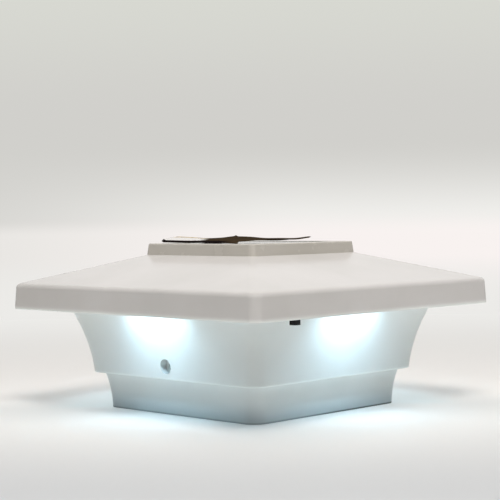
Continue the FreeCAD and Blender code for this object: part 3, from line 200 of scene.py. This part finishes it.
def mouldedPlastic(name, part):
    finish = Finish(name, {"IOR": 1.5})
    mottle = finish.noise(*wear["mottle"])  # slow change of tone in the moulding
    smear = finish.noise(*wear["smear"])  # handling marks, seen in the gloss
    dust = finish.flakes(wear["specks"]) < part["dust"]  # specks under half a millimetre
    settled = dust * (finish.noise(*wear["settle"]) > wear["dusty"])
    tone = finish.mix(finish.ramp(mottle, *wear["mottleSpan"]), part["colour"], part["shade"])
    x, y, height = finish.axes()
    foot = 1 - finish.ramp(height, 0.0, wear["foot"])  # the rubbed edge that the light stands on
    lowTierShade = 1 - finish.ramp(height, 0.0, wear["lowTierShade"])  # painted shade: the low tier darkens towards the foot
    least = wear["contactShadowLeast"]  # painted contact shadow: the dark line at the foot is at its full strength only on the right side
    contactShadowStrength = least + (1 - least) * (x > wear["rightSide"]) * finish.ramp(y, *wear["contactShadowTo"])
    contactShadow = (1 - finish.ramp(height, *wear["contactShadow"])) * contactShadowStrength
    # the foot colour serves both the rubbed edge, which is wear, and the painted shade of the low tier
    rubbed = finish.mix((lowTierShade * lowTierShade).most(foot * wear["footShare"]), tone, wear["footShadeAndWearColour"])
    above = height - wear["holeHeight"]
    inHole = x * x + above * above < wear["hole"] ** 2  # painted shade darkens the screw holes
    paintedShade = contactShadow.most(inHole * (wear["holeShade"] + wear["holeFloorShade"] * (abs(y) < wear["holeFloor"])))
    withPaintedShade = finish.mix(paintedShade, rubbed, wear["paintedShadeColour"])
    if "glow" in part:  # painted highlight: emission makes the pale lines along the skirt's lower edge and the collar's ledge
        paintedHighlight = finish.ramp(height, *part["glowFrom"]) * (1 - finish.ramp(height, *part["glowTo"]))
        finish.set({"Emission Color": finish.mix(paintedHighlight, (0, 0, 0), part["glow"]), "Emission Strength": 1.0})
    rough = part["rough"] + smear * wear["smearRough"] - wear["polish"]
    finish.set({"Base Color": finish.mix(settled * wear["dustShare"], withPaintedShade, wear["dustColour"]),
                "Roughness": rough + settled * wear["dustRough"] + foot * wear["footRough"]})
    grain = finish.noise(part["grain"], 2, 0.6)
    wave = finish.noise(part["wave"], 1)
    return finish.relief((grain, part["grainDepth"]), (wave, part["waveDepth"])).material


# the light windows under the eave
lensLook = {"colour": (236, 244, 250), "clear": 0.75, "rough": (0.18, 300, 0.1), "strength": 1.5,
            "glow": (214, 238, 255), "edge": (150, 176, 198), "middle": (0.001, 0.012),
            "rib": 0.0012, "ribSteep": 900, "ribDepth": 0.00008}


def lensPlastic():
    finish = Finish("lensPlastic", {"Base Color": paint(*lensLook["colour"]), "IOR": 1.49,
                                    "Transmission Weight": lensLook["clear"],
                                    "Emission Strength": lensLook["strength"]})
    x, y, z = finish.axes()
    along = abs(x).least(abs(y))  # each lens is far out on its other axis
    middle = 1 - finish.ramp(along, *lensLook["middle"])
    finish.set({"Emission Color": finish.mix(middle, lensLook["edge"], lensLook["glow"]),
                "Roughness": finish.uneven(*lensLook["rough"])})
    rib = along.rounds(lensLook["rib"]) * lensLook["ribSteep"]
    return finish.relief((rib, lensLook["ribDepth"])).material


# one LED behind each window
ledLook = {"reach": 0.094, "half": 0.001, "edge": 0.0001, "body": (236, 236, 230), "gel": (240, 214, 96),
           "dim": (40, 44, 48), "glow": (226, 244, 255), "strength": 3.0, "rough": 0.4, "grain": (2600, 3),
           "grainDepth": 0.00003}


def phosphor():
    finish = Finish("phosphor", {"Roughness": ledLook["rough"], "Emission Strength": ledLook["strength"]})
    x, y, z = finish.axes()
    along, across = abs(x).least(abs(y)), abs(x).most(abs(y)) - ledLook["reach"]
    gel = finish.ramp(along.most(abs(across)), ledLook["half"] + ledLook["edge"],
                      ledLook["half"] - ledLook["edge"])
    grain = finish.noise(*ledLook["grain"])
    finish.set({"Base Color": finish.mix(gel, ledLook["body"], ledLook["gel"]),
                "Emission Color": finish.mix(gel, ledLook["dim"], ledLook["glow"])})
    return finish.relief((grain * gel, ledLook["grainDepth"])).material


# the boards that carry the LEDs: two tracks, and a pad near each end
ledBoardLook = {"mask": (232, 233, 229), "copper": (206, 212, 203), "pad": (200, 200, 196),
                "rough": (0.32, 500, 0.12), "trackAt": 0.0016, "trackHalf": 0.0004, "trackEnd": 0.0165,
                "trackShare": 0.5, "padAt": 0.0115, "padHalf": 0.0012, "relief": 0.00004}


def ledBoardMask():
    finish = Finish("ledBoardMask", {"IOR": 1.5})
    x, y, z = finish.axes()
    along, across = abs(x).least(abs(y)), abs(abs(x).most(abs(y)) - ledLook["reach"])
    lane = abs(across - ledBoardLook["trackAt"]) < ledBoardLook["trackHalf"]
    track = lane * (along < ledBoardLook["trackEnd"])
    onPad = abs(along - ledBoardLook["padAt"]) < ledBoardLook["padHalf"]
    pad = (across < ledBoardLook["trackAt"]) * onPad
    mask = finish.mix(track * ledBoardLook["trackShare"], ledBoardLook["mask"], ledBoardLook["copper"])
    finish.set({"Base Color": finish.mix(pad, mask, ledBoardLook["pad"]), "Metallic": pad,
                "Roughness": finish.uneven(*ledBoardLook["rough"])})
    return finish.relief((track.most(pad), ledBoardLook["relief"])).material


# the slide switch
switchLook = {"colour": (8, 8, 9), "rubbed": (24, 24, 25), "rub": (500, 3), "rubShare": 0.6, "rough": 0.38,
              "rubRough": 0.2, "grip": (0.0642, 0.0636), "ridge": 0.0008, "ridgeSide": (0.0001, 0.0003),
              "ridgeDepth": 0.00025, "grain": (2500, 2), "grainDepth": 0.00001}


def switchBlack():
    finish = Finish("switchBlack", {"IOR": 1.5, "Specular IOR Level": 0.15})
    x, y, z = finish.axes()
    grip = finish.ramp(z, *switchLook["grip"])  # ridges on the part that a finger meets
    ridge = finish.ramp(y.rounds(switchLook["ridge"]), *switchLook["ridgeSide"])
    rub = finish.noise(*switchLook["rub"])
    rubbed = rub * grip * switchLook["rubShare"]
    finish.set({"Base Color": finish.mix(rubbed, switchLook["colour"], switchLook["rubbed"]),
                "Roughness": switchLook["rough"] + rub * switchLook["rubRough"]})
    grain = finish.noise(*switchLook["grain"])
    return finish.relief((ridge * grip, switchLook["ridgeDepth"]), (grain, switchLook["grainDepth"])).material


# screws, pins, contacts and springs
metalLooks = {
    "zincScrew": {"colour": (196, 198, 200), "tarnish": (150, 150, 148), "rough": 0.28,
                  "stain": (500, 4, 0.65)},
    "nickelContact": {"colour": (214, 210, 200), "tarnish": (176, 168, 150), "rough": 0.16,
                      "stain": (260, 4, 0.65)},
}
metalWear = {"stainSpan": (0.45, 0.75), "stainRough": 0.2, "scratch": (9000, 2, 0.7),
             "scratchDepth": 0.000004}


def platedMetal(name):
    part = metalLooks[name]
    finish = Finish(name, {"Metallic": 1.0})
    stain = finish.noise(*part["stain"])
    scratch = finish.noise(*metalWear["scratch"])
    stained = finish.ramp(stain, *metalWear["stainSpan"])
    finish.set({"Base Color": finish.mix(stained, part["colour"], part["tarnish"]),
                "Roughness": part["rough"] + stain * metalWear["stainRough"]})
    return finish.relief((scratch, metalWear["scratchDepth"])).material


# the battery cells
cellLook = {"sleeve": (38, 96, 62), "band": (198, 201, 203), "metal": (205, 204, 200),
            "bandAt": (0.0165, 0.0168), "bandShine": 0.7, "sleeveFrom": -0.0233, "sleeveTo": 0.0252,
            "sleeveDepth": 0.00008, "rough": 0.24, "wrinkle": (700, 3), "wrinkleRough": 0.12,
            "wrinkleDepth": 0.00002}


def cellSleeve():
    finish = Finish("cellSleeve", {"IOR": 1.5})
    x, y, z = finish.axes()
    toTip = y * ((x < 0) * 2 - 1)  # the two cells lie head to tail
    band = finish.ramp(toTip, *cellLook["bandAt"])
    bare = (toTip > cellLook["sleeveTo"]).most(toTip < cellLook["sleeveFrom"])
    wrinkle = finish.noise(*cellLook["wrinkle"])
    colour = finish.mix(band, cellLook["sleeve"], cellLook["band"])
    finish.set({"Base Color": finish.mix(bare, colour, cellLook["metal"]),
                "Metallic": bare.most(band * cellLook["bandShine"]),
                "Roughness": cellLook["rough"] + wrinkle * cellLook["wrinkleRough"]})
    return finish.relief((wrinkle, cellLook["wrinkleDepth"]), (1 - bare, cellLook["sleeveDepth"])).material


# the wires inside
wireLook = {"warm": (176, 26, 22), "dark": (26, 26, 28), "scuffColour": (120, 116, 112), "scuffShare": 0.15,
            "rough": 0.42, "scuff": (1500, 3), "scuffRough": 0.15, "scuffDepth": 0.00001}
wireSplits = {  # which of a pair's two wires is the red one, from where a point is
    "panel_wires": lambda x, y: y > 0,
    "battery_wires": lambda x, y: (y < 0.0341) * (x > 0) * (x < 0.0337),
    "switch_wires": lambda x, y: (y > -0.062) * (x > 0.0576),
    "led_wires_front": lambda x, y: ((y > -0.0413) * (x < 0.0448)).most(x < 0.0112),
    "led_wires_rear": lambda x, y: ((y < 0.0413) * (x < 0.0448)).most(x < 0.0112),
    "led_wires_right": lambda x, y: y > 0.006,
    "led_wires_left": lambda x, y: ((y > 0.0485) * (x < 0.0520)).most((x < -0.0265) * (y > 0.0112)),
}


def wireSleeve(pair):
    finish = Finish("wireSleeve_" + pair, {"IOR": 1.48})
    x, y, z = finish.axes()
    scuff = finish.noise(*wireLook["scuff"])
    colour = finish.mix(wireSplits[pair](x, y), wireLook["dark"], wireLook["warm"])
    finish.set({"Base Color": finish.mix(scuff * wireLook["scuffShare"], colour, wireLook["scuffColour"]),
                "Roughness": wireLook["rough"] + scuff * wireLook["scuffRough"]})
    return finish.relief((scuff, wireLook["scuffDepth"])).material


# the driver board and what is soldered to it
boardLook = {"pitch": 0.00127, "track": 0.00022, "hole": 0.0004, "rough": (0.3, 400, 0.1), "coat": 0.4,
             "mask": (20, 84, 44), "copper": (38, 118, 62), "pad": (214, 190, 118), "relief": 0.00003,
             "patches": (170, 0), "patchLevel": 0.5, "padPatches": (240, 0), "padLevel": 0.58}


def boardGreen():
    finish = Finish("boardGreen", {"IOR": 1.5, "Coat Roughness": 0.15})
    x, y, z = finish.axes()
    pitch = boardLook["pitch"]
    lanes = x.rounds(pitch) < boardLook["track"]
    rows = y.rounds(pitch * 2) < boardLook["track"]
    laneGate = finish.noise(*boardLook["patches"]) > boardLook["patchLevel"]  # lanes here, rows elsewhere
    track = (lanes * laneGate).most(rows * (1 - laneGate))
    holes = x.rounds(pitch * 2).most(y.rounds(pitch * 2)) < boardLook["hole"]
    pad = holes * (finish.noise(*boardLook["padPatches"]) > boardLook["padLevel"])
    mask = finish.mix(track, boardLook["mask"], boardLook["copper"])
    finish.set({"Base Color": finish.mix(pad, mask, boardLook["pad"]), "Metallic": pad,
                "Roughness": finish.uneven(*boardLook["rough"]),
                "Coat Weight": (1 - pad) * boardLook["coat"]})
    return finish.relief((track.most(pad), boardLook["relief"])).material


chipLook = {"colour": (24, 24, 25), "speck": (46, 46, 47), "specks": (4200, 3), "speckRough": 0.1,
            "speckDepth": 0.00001, "rough": 0.55, "half": 0.00201, "leg": (204, 204, 202), "legShine": 0.25,
            "dimpleX": 0.0495, "dimpleY": -0.0012, "dimple": 0.0004, "dimpleDepth": 0.0001}


def chipEpoxy():
    finish = Finish("chipEpoxy", {})
    x, y, z = finish.axes()
    leg = abs(y) > chipLook["half"]
    offX, offY = abs(x - chipLook["dimpleX"]), abs(y - chipLook["dimpleY"])
    dimple = offX.most(offY) < chipLook["dimple"]  # marks pin 1
    speck = finish.noise(*chipLook["specks"])
    body = finish.mix(speck, chipLook["colour"], chipLook["speck"])
    rough = chipLook["rough"] - leg * chipLook["legShine"] + speck * chipLook["speckRough"]
    finish.set({"Base Color": finish.mix(leg, body, chipLook["leg"]), "Metallic": leg, "Roughness": rough})
    return finish.relief((speck, chipLook["speckDepth"]), (1 - dimple, chipLook["dimpleDepth"])).material


coilLook = {"ferrite": (58, 56, 55), "speck": (84, 82, 80), "specks": (2400, 3), "speckRough": 0.1,
            "speckDepth": 0.00002, "rough": 0.62, "low": 0.0743, "high": 0.0783, "copper": (196, 104, 52),
            "groove": (96, 44, 20), "metal": 0.9, "paintedHighlight": 0.3, "turn": 0.0004, "turnDepth": 0.00012}


def coilAndFerrite():
    finish = Finish("coilAndFerrite", {})
    x, y, z = finish.axes()
    wound = (z > coilLook["low"]) * (z < coilLook["high"])
    turn = finish.ramp(z.rounds(coilLook["turn"]), 0.0, coilLook["turn"] / 2)
    speck = finish.noise(*coilLook["specks"])
    core = finish.mix(speck, coilLook["ferrite"], coilLook["speck"])
    winding = finish.mix(turn, coilLook["copper"], coilLook["groove"])
    rough = coilLook["rough"] - wound * coilLook["paintedHighlight"] + speck * coilLook["speckRough"]
    finish.set({"Base Color": finish.mix(wound, core, winding), "Metallic": wound * coilLook["metal"],
                "Roughness": rough})
    return finish.relief((1 - turn * wound, coilLook["turnDepth"]), (speck, coilLook["speckDepth"])).material


capacitorLook = {"sleeve": (32, 34, 58), "mark": (188, 190, 196), "metal": (200, 200, 202),
                 "rough": (0.3, 600, 0.12), "x": 0.051, "y": -0.010, "top": 0.0801, "rim": 0.0027,
                 "rimDepth": 0.0001, "vent": 0.0001, "ventDepth": 0.0002, "stripe": 0.0021}


def capacitorSleeve():
    finish = Finish("capacitorSleeve", {})
    x, y, z = finish.axes()
    offX, offY = x - capacitorLook["x"], y - capacitorLook["y"]
    onTop = z > capacitorLook["top"]
    bare = onTop * ((offX * offX + offY * offY) < capacitorLook["rim"] ** 2)
    vent = bare * (abs(offX).least(abs(offY)) < capacitorLook["vent"])
    stripe = (offX > capacitorLook["stripe"]) * (1 - bare)
    sleeve = finish.mix(stripe, capacitorLook["sleeve"], capacitorLook["mark"])
    finish.set({"Base Color": finish.mix(bare, sleeve, capacitorLook["metal"]), "Metallic": bare,
                "Roughness": finish.uneven(*capacitorLook["rough"])})
    return finish.relief((1 - vent, capacitorLook["ventDepth"]),
                         (1 - bare, capacitorLook["rimDepth"])).material


# the solar panel, its board, cover and seal
panelLook = {"strip": 0.011333, "firstStrip": -0.028333, "busbar": 0.0004, "finger": 0.0018,
             "fingerHalf": 0.00006, "flakes": 190, "silicon": (20, 34, 74), "flake": (34, 52, 104),
             "metal": (176, 178, 182), "metalShare": 0.9, "rough": 0.22, "flakeRough": 0.16, "coat": 0.3,
             "relief": 0.00003}


def solarSilicon():
    finish = Finish("solarSilicon", {"IOR": 1.7, "Coat Roughness": 0.05})
    x, y, z = finish.axes()
    flake = finish.node("ShaderNodeSeparateColor", {}, {"Color": finish.flakes(panelLook["flakes"], "Color")})
    busbar = (x - panelLook["firstStrip"]).rounds(panelLook["strip"]) < panelLook["busbar"]
    finger = y.rounds(panelLook["finger"]) < panelLook["fingerHalf"]
    metal = busbar.most(finger)
    cell = finish.mix(flake, panelLook["silicon"], panelLook["flake"])
    finish.set({"Base Color": finish.mix(metal, cell, panelLook["metal"]),
                "Metallic": metal * panelLook["metalShare"],
                "Roughness": panelLook["rough"] + flake * panelLook["flakeRough"],
                "Coat Weight": panelLook["coat"] - metal * panelLook["coat"]})
    return finish.relief((metal, panelLook["relief"])).material


laminateLook = {"mask": (20, 22, 27), "thread": (34, 37, 44), "threadShare": 0.5, "rough": (0.34, 300, 0.1),
                "weave": 0.0009, "weaveSteep": 2200, "weaveDepth": 0.00001}


def panelLaminate():
    finish = Finish("panelLaminate", {"IOR": 1.5})
    x, y, z = finish.axes()
    warp, weft = [axis.rounds(laminateLook["weave"]) * laminateLook["weaveSteep"] for axis in (x, y)]
    weave = warp.most(weft)  # glass cloth under the black mask
    thread = weave * laminateLook["threadShare"]
    finish.set({"Base Color": finish.mix(thread, laminateLook["mask"], laminateLook["thread"]),
                "Roughness": finish.uneven(*laminateLook["rough"])})
    return finish.relief((weave, laminateLook["weaveDepth"])).material


resinLook = {"colour": (244, 248, 250), "clear": 0.96, "rough": (0.03, 120, 0.05, 3), "wave": (45, 1),
             "waveDepth": 0.00001}


def panelResin():
    finish = Finish("panelResin", {"Base Color": paint(*resinLook["colour"]), "IOR": 1.49,
                                   "Transmission Weight": resinLook["clear"]})
    finish.set({"Roughness": finish.uneven(*resinLook["rough"])})
    return finish.relief((finish.noise(*resinLook["wave"]), resinLook["waveDepth"])).material


sealLook = {"colour": (30, 30, 31), "pale": (48, 48, 48), "rough": 0.42, "lump": (260, 2), "lumpRough": 0.15,
            "lumpDepth": 0.00008}


def sealBead():
    finish = Finish("sealBead", {"IOR": 1.42})
    lump = finish.noise(*sealLook["lump"])
    finish.set({"Base Color": finish.mix(lump, sealLook["colour"], sealLook["pale"]),
                "Roughness": sealLook["rough"] + lump * sealLook["lumpRough"]})
    return finish.relief((lump, sealLook["lumpDepth"])).material


whitePaints = {key: mouldedPlastic(key + "Plastic", part) for key, part in whiteParts.items()}
zincScrew, nickelContact = platedMetal("zincScrew"), platedMetal("nickelContact")
trayPlastic, switchPlastic, cellPaint = whitePaints["tray"], switchBlack(), cellSleeve()
lens, ledGel, ledBoard = lensPlastic(), phosphor(), ledBoardMask()
nodePaints = {
    "roof_shell": whitePaints["roof"], "panel_frame": whitePaints["frame"],
    "post_collar": whitePaints["collar"],
    "under_tray": trayPlastic, "battery_door": trayPlastic, "battery_box": trayPlastic,
    "switch_knob": switchPlastic, "switch_housing": switchPlastic,
    "switch_terminals": nickelContact, "battery_contacts": nickelContact, "battery_springs": nickelContact,
    "battery_cell_left": cellPaint, "battery_cell_right": cellPaint,
    "driver_board": boardGreen(), "controller_chip": chipEpoxy(), "inductor": coilAndFerrite(),
    "capacitor": capacitorSleeve(), "panel_board": panelLaminate(), "solar_cells": solarSilicon(),
    "panel_cover": panelResin(), "panel_seal": sealBead(), "door_hinge_pin": zincScrew,
}
for side in ("front", "right", "rear", "left"):
    nodePaints["led_lens_" + side] = lens
    nodePaints["led_chip_" + side] = ledGel
    nodePaints["led_board_" + side] = ledBoard
for group in ("roof", "collar", "frame", "led", "board", "box", "switch"):
    nodePaints[group + "_screws"] = zincScrew
for pair in wireSplits:
    nodePaints[pair] = wireSleeve(pair)
for name, material in nodePaints.items():
    slots = nodes[name].material_slots
    for number in range(len(slots)):
        slots[number].material = material
print("finishes on", len(nodePaints), "nodes")

# the panel's film: pressed down in its middle, lifted along its edges
film = {
    "low": (-0.0404, -0.0404), "side": 0.068, "cells": 68, "thick": 0.00012,
    "frameTop": 0.1045, "stuck": 0.10438,  # heights of the frame's top and of the film where it still sticks
    "nearEdge": (2.05, 1.97, 1.90, 1.85, 1.75, 1.45),  # millimetres over the frame, from the left corner
    "leftEdge": (1.95, 3.35, 2.75, 1.75, 1.85, 2.70),
    "rightEdge": (1.45, 1.95, 2.28, 2.06, 1.83, 2.80),
    "farEdge": (2.75, 2.45, 1.62, 1.65, 1.67, 2.80),
    "curl": (-1.35, 0.75, -0.3, 0.5), "curlWide": 1.9,  # near, left, right and far, in millimetres
    "stuckAt": (0.30, 0.36), "stuckWide": (0.17, 0.19), "press": 1.25,
    "colour": (74, 62, 47), "shade": (54, 43, 33), "nearEdgeShade": (30, 24, 24), "cutEdge": (208, 184, 128),
    "clear": (-0.0265, -0.034), "haze": (226, 224, 217), "clearness": 0.86, "cutHaze": 0.8, "coat": 0.5,
    "nearEdgeShadeWide": (0.0021, 0.0016), "nearEdgeShadeEnd": (0.024, 0.012), "cutWide": (0.0014, 0.0008),
    "cutFrom": (-0.0515, -0.046), "rough": 0.55, "crease": (55, 3), "creaseRough": 0.1,
    "creaseDepth": 0.00004,
}


def smoothLine(heights, share):  # a smooth line through evenly spaced heights
    place = min(max(share, 0.0), 1.0) * (len(heights) - 1)
    first = min(int(place), len(heights) - 2)
    part = place - first
    before, start = heights[max(first - 1, 0)], heights[first]
    end, after = heights[first + 1], heights[min(first + 2, len(heights) - 1)]
    return 0.5 * (2 * start + (end - before) * part + (2 * before - 5 * start + 4 * end - after) * part ** 2
                  + (3 * start - before - 3 * end + after) * part ** 3)


def filmHeight(across, back):
    near, far = smoothLine(film["nearEdge"], across), smoothLine(film["farEdge"], across)
    left, right = smoothLine(film["leftEdge"], back), smoothLine(film["rightEdge"], back)
    corners = ((1 - across) * (1 - back) * film["nearEdge"][0] + across * (1 - back) * film["nearEdge"][-1]
               + (1 - across) * back * film["farEdge"][0] + across * back * film["farEdge"][-1])
    lift = (1 - back) * near + back * far + (1 - across) * left + across * right - corners
    for share, curl in zip((back, across, 1 - across, 1 - back), film["curl"]):
        lift += curl * max(0.0, 1 - share * film["side"] * 1000 / film["curlWide"])
    offX = (across - film["stuckAt"][0]) / film["stuckWide"][0]
    offY = (back - film["stuckAt"][1]) / film["stuckWide"][1]
    stuck = min(1.0, math.exp(-offX ** 2 - offY ** 2) * film["press"])
    return film["frameTop"] + lift * 0.001 * (1 - stuck) - (film["frameTop"] - film["stuck"]) * stuck


def filmPlastic():
    finish = Finish("peelingFilm", {"Specular IOR Level": 0.0, "Coat Roughness": 0.05})
    x, y, z = finish.axes()
    aside = x * view["right"][0] + y * view["right"][1]
    crease = finish.noise(*film["crease"])
    clear = finish.ramp(aside, *film["clear"])  # the corner that has come away
    # painted shadow: a dark band along the film's near edge, for the gap under the lifted edge
    nearEdgeShade = finish.ramp(y - film["low"][1], *film["nearEdgeShadeWide"]) * finish.ramp(x, *film["nearEdgeShadeEnd"])
    cutEdge = finish.ramp(x - film["low"][0], *film["cutWide"]) * finish.ramp(aside, *film["cutFrom"]) * clear
    dark = finish.mix(crease, film["colour"], film["shade"])
    sheet = finish.mix(cutEdge, finish.mix(clear, dark, film["haze"]), film["cutEdge"])
    see = clear * (1 - nearEdgeShade)
    finish.set({"Base Color": finish.mix(nearEdgeShade, sheet, film["nearEdgeShade"]),
                "Roughness": film["rough"] + crease * film["creaseRough"], "Coat Weight": see * film["coat"],
                "Alpha": 1 - see * (1 - cutEdge * film["cutHaze"]) * film["clearness"]})
    return finish.relief((crease, film["creaseDepth"])).material


def makeFilm():
    sheet = bmesh.new()
    bmesh.ops.create_grid(sheet, x_segments=film["cells"], y_segments=film["cells"], size=0.5)
    for vert in sheet.verts:
        across, back = vert.co.x + 0.5, vert.co.y + 0.5
        vert.co = Vector((film["low"][0] + across * film["side"], film["low"][1] + back * film["side"],
                          filmHeight(across, back)))
    mesh = bpy.data.meshes.new("panelFilm")
    sheet.to_mesh(mesh)
    sheet.free()
    piece = bpy.data.objects.new("panelFilm", mesh)
    scene.collection.objects.link(piece)
    for polygon in mesh.polygons:
        polygon.use_smooth = True
    wall = piece.modifiers.new("wall", "SOLIDIFY")
    wall.thickness = film["thick"]
    wall.offset = 1.0
    mesh.materials.append(filmPlastic())
    return piece


panelFilm = makeFilm()
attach(panelFilm, "cap")
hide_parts("panel_film")
print("film laid on the panel")

# floor and backdrop; each pair says where a change starts and where it ends
stage = {"side": 14.0, "away": 0.895, "floor": (236, 236, 235), "back": (251, 249, 247),
         "litBackAt": (-0.02, 0.05), "near": (206, 208, 210), "nearShadeAt": (-0.07, -0.30),
         "middle": (236, 235, 232), "far": (248, 242, 240), "farLeft": (228, 227, 223), "farAt": (0.8, 3.5),
         "fade": (0.0, 0.8), "ring": (0.36, 2.25), "warmSide": (-0.24, 0.05), "warmLeast": 0.15,
         "pool": (226, 237, 238), "poolAt": (0.021, 0.012), "poolFrom": (-0.03, 0.005), "poolShare": 0.6}


def warmth(finish, aside):  # the backdrop's warm light fades towards the left
    return stage["warmLeast"] + (1 - stage["warmLeast"]) * finish.ramp(aside, *stage["warmSide"])


def floorPaint():
    finish = Finish("floorPaint", {"Roughness": 0.7, "IOR": 1.3})
    x, y, z = finish.axes()
    depth = x * view["forward"][0] + y * view["forward"][1]  # how far behind the light a point lies
    aside = (x * view["right"][0] + y * view["right"][1]) / (depth + stage["away"])
    # painted light: the floor is brighter from near the post backwards, which lifts the shade beside the
    # collar
    table = finish.mix(finish.ramp(depth, *stage["litBackAt"]), stage["floor"], stage["back"])
    # painted shade: the floor darkens towards the camera
    finish.set({"Base Color": finish.mix(finish.ramp(depth, *stage["nearShadeAt"]), table, stage["near"])})
    back = finish.mix(warmth(finish, aside), stage["farLeft"], stage["far"])
    paper = finish.mix(finish.ramp(depth, *stage["farAt"]), stage["middle"], back)
    apart = x * x + y * y  # the square of the distance from the post
    pool = finish.ramp(apart, *stage["poolAt"]) * finish.ramp(depth, *stage["poolFrom"])  # a painted pool of light beside the collar
    bright = finish.node("ShaderNodeEmission", {}, {"Color": finish.mix(pool, paper, stage["pool"])})
    ring = finish.ramp(apart, *stage["ring"])  # for the other views
    fade = finish.ramp(depth, *stage["fade"]).most(ring).most(pool * stage["poolShare"])
    cover = finish.node("ShaderNodeMixShader", {}, {0: fade * finish.seen(),
                                                    1: Wire(finish, finish.shader.outputs[0]), 2: bright})
    finish.feed(finish.tree.nodes["Material Output"].inputs["Surface"], cover)
    return finish.material


def makeFloor():
    floor = bmesh.new()
    bmesh.ops.create_grid(floor, x_segments=2, y_segments=2, size=stage["side"] / 2)
    mesh = bpy.data.meshes.new("floor")
    floor.to_mesh(mesh)
    floor.free()
    piece = bpy.data.objects.new("floor", mesh)
    scene.collection.objects.link(piece)
    mesh.materials.append(floorPaint())


makeFloor()


class WorldLook(Finish):  # the world, built with the same methods
    def __init__(self):
        world = bpy.data.worlds.new("studio")
        world.use_nodes = True
        scene.world = world
        self.tree = world.node_tree


sky = {"light": 0.11, "tint": (250, 250, 252), "paper": (209, 208, 204), "top": (216, 217, 210),
       "glow": (249, 243, 241), "haze": (247, 246, 243), "ceiling": (254, 253, 252),
       "zenith": (128, 130, 134), "topAt": (0.07, 0.17), "glowAt": (0.055, -0.022),
       "hazeAt": (0.006, -0.012), "leftAt": (0.0, -0.012), "ceilingAt": (0.2, 0.35), "zenithAt": (0.78, 0.92)}
studio = WorldLook()
across, deep, height = studio.split(studio.node("ShaderNodeTexCoord", {}, {}, "Generated"))
aside = across * view["right"][0] + deep * view["right"][1]
glowShare = studio.ramp(height, *sky["glowAt"]) * warmth(studio, aside)
paper = studio.mix(studio.ramp(height, *sky["topAt"]), sky["paper"], sky["top"])
overhead = studio.mix(studio.ramp(height, *sky["zenithAt"]), sky["ceiling"], sky["zenith"])
backing = studio.mix(studio.ramp(height, *sky["ceilingAt"]), paper, overhead)
leftSide = studio.mix(studio.ramp(height, *sky["leftAt"]), backing, stage["farLeft"])
horizon = studio.mix(studio.ramp(height, *sky["hazeAt"]), sky["haze"], sky["glow"])
shown = studio.mix(glowShare, leftSide, horizon)
lit = studio.node("ShaderNodeBackground", {}, {"Color": paint(*sky["tint"]), "Strength": sky["light"]})
backdrop = studio.node("ShaderNodeBackground", {}, {"Color": shown, "Strength": 1.0})
studio.feed(studio.tree.nodes["World Output"].inputs["Surface"],
            studio.node("ShaderNodeMixShader", {}, {0: studio.seen(), 1: lit, 2: backdrop}))

# lamps: a soft light overhead, one near the camera, a glint and the four LED beams
lamps = {
    "softbox": {"place": (-0.047, 0.006, 1.6), "size": (1.6, 1.6), "power": 13.5, "tint": (255, 252, 248)},
    "key": {"place": (0.702, -0.562, 1.20), "size": (0.5, 0.5), "power": 12.3, "tint": (255, 252, 248)},
    "spark": {"place": (0.66, -0.62, 1.20), "size": (0.25, 0.25), "power": 4.4, "tint": (255, 253, 250)},
    "eave": {"height": 0.0652, "size": (0.046, 0.007), "power": 0.0272, "tint": (200, 236, 255),
             "lean": 31, "spread": 150},  # in degrees; it leans towards the collar
}


def addLamp(name, place, aim, look):
    data = bpy.data.lights.new(name, "AREA")
    data.shape = "RECTANGLE"
    data.size, data.size_y = look["size"]
    data.energy = look["power"]
    data.color = paint(*look["tint"])[:3]
    lamp = bpy.data.objects.new(name, data)
    scene.collection.objects.link(lamp)
    lamp.location = place
    lamp.rotation_euler = (Vector(aim) - Vector(place)).to_track_quat("-Z", "Y").to_euler()
    lamp.visible_camera = False
    lamp.visible_glossy = False
    return lamp


for name in ("softbox", "key", "spark"):
    lamp = addLamp(name, lamps[name]["place"], (0, 0, 0), lamps[name])
    if name == "spark":  # it only shows in the gloss, as a small glint
        lamp.visible_diffuse = False
        lamp.visible_glossy = True
eave = lamps["eave"]
lean = Matrix.Rotation(math.radians(eave["lean"]), 4, "X")
for number in range(4):
    spin = Matrix.Rotation(number * math.pi / 2, 4, "Z")
    lamp = addLamp("eaveLight%d" % number, (0, 0, 0), (0, 0, -1), eave)
    lamp.matrix_world = spin @ Matrix.Translation((0, -ledLook["reach"], eave["height"])) @ lean
    lamp.data.spread = math.radians(eave["spread"])
print("stage and lamps are set")

scene.view_settings.view_transform = "Standard"
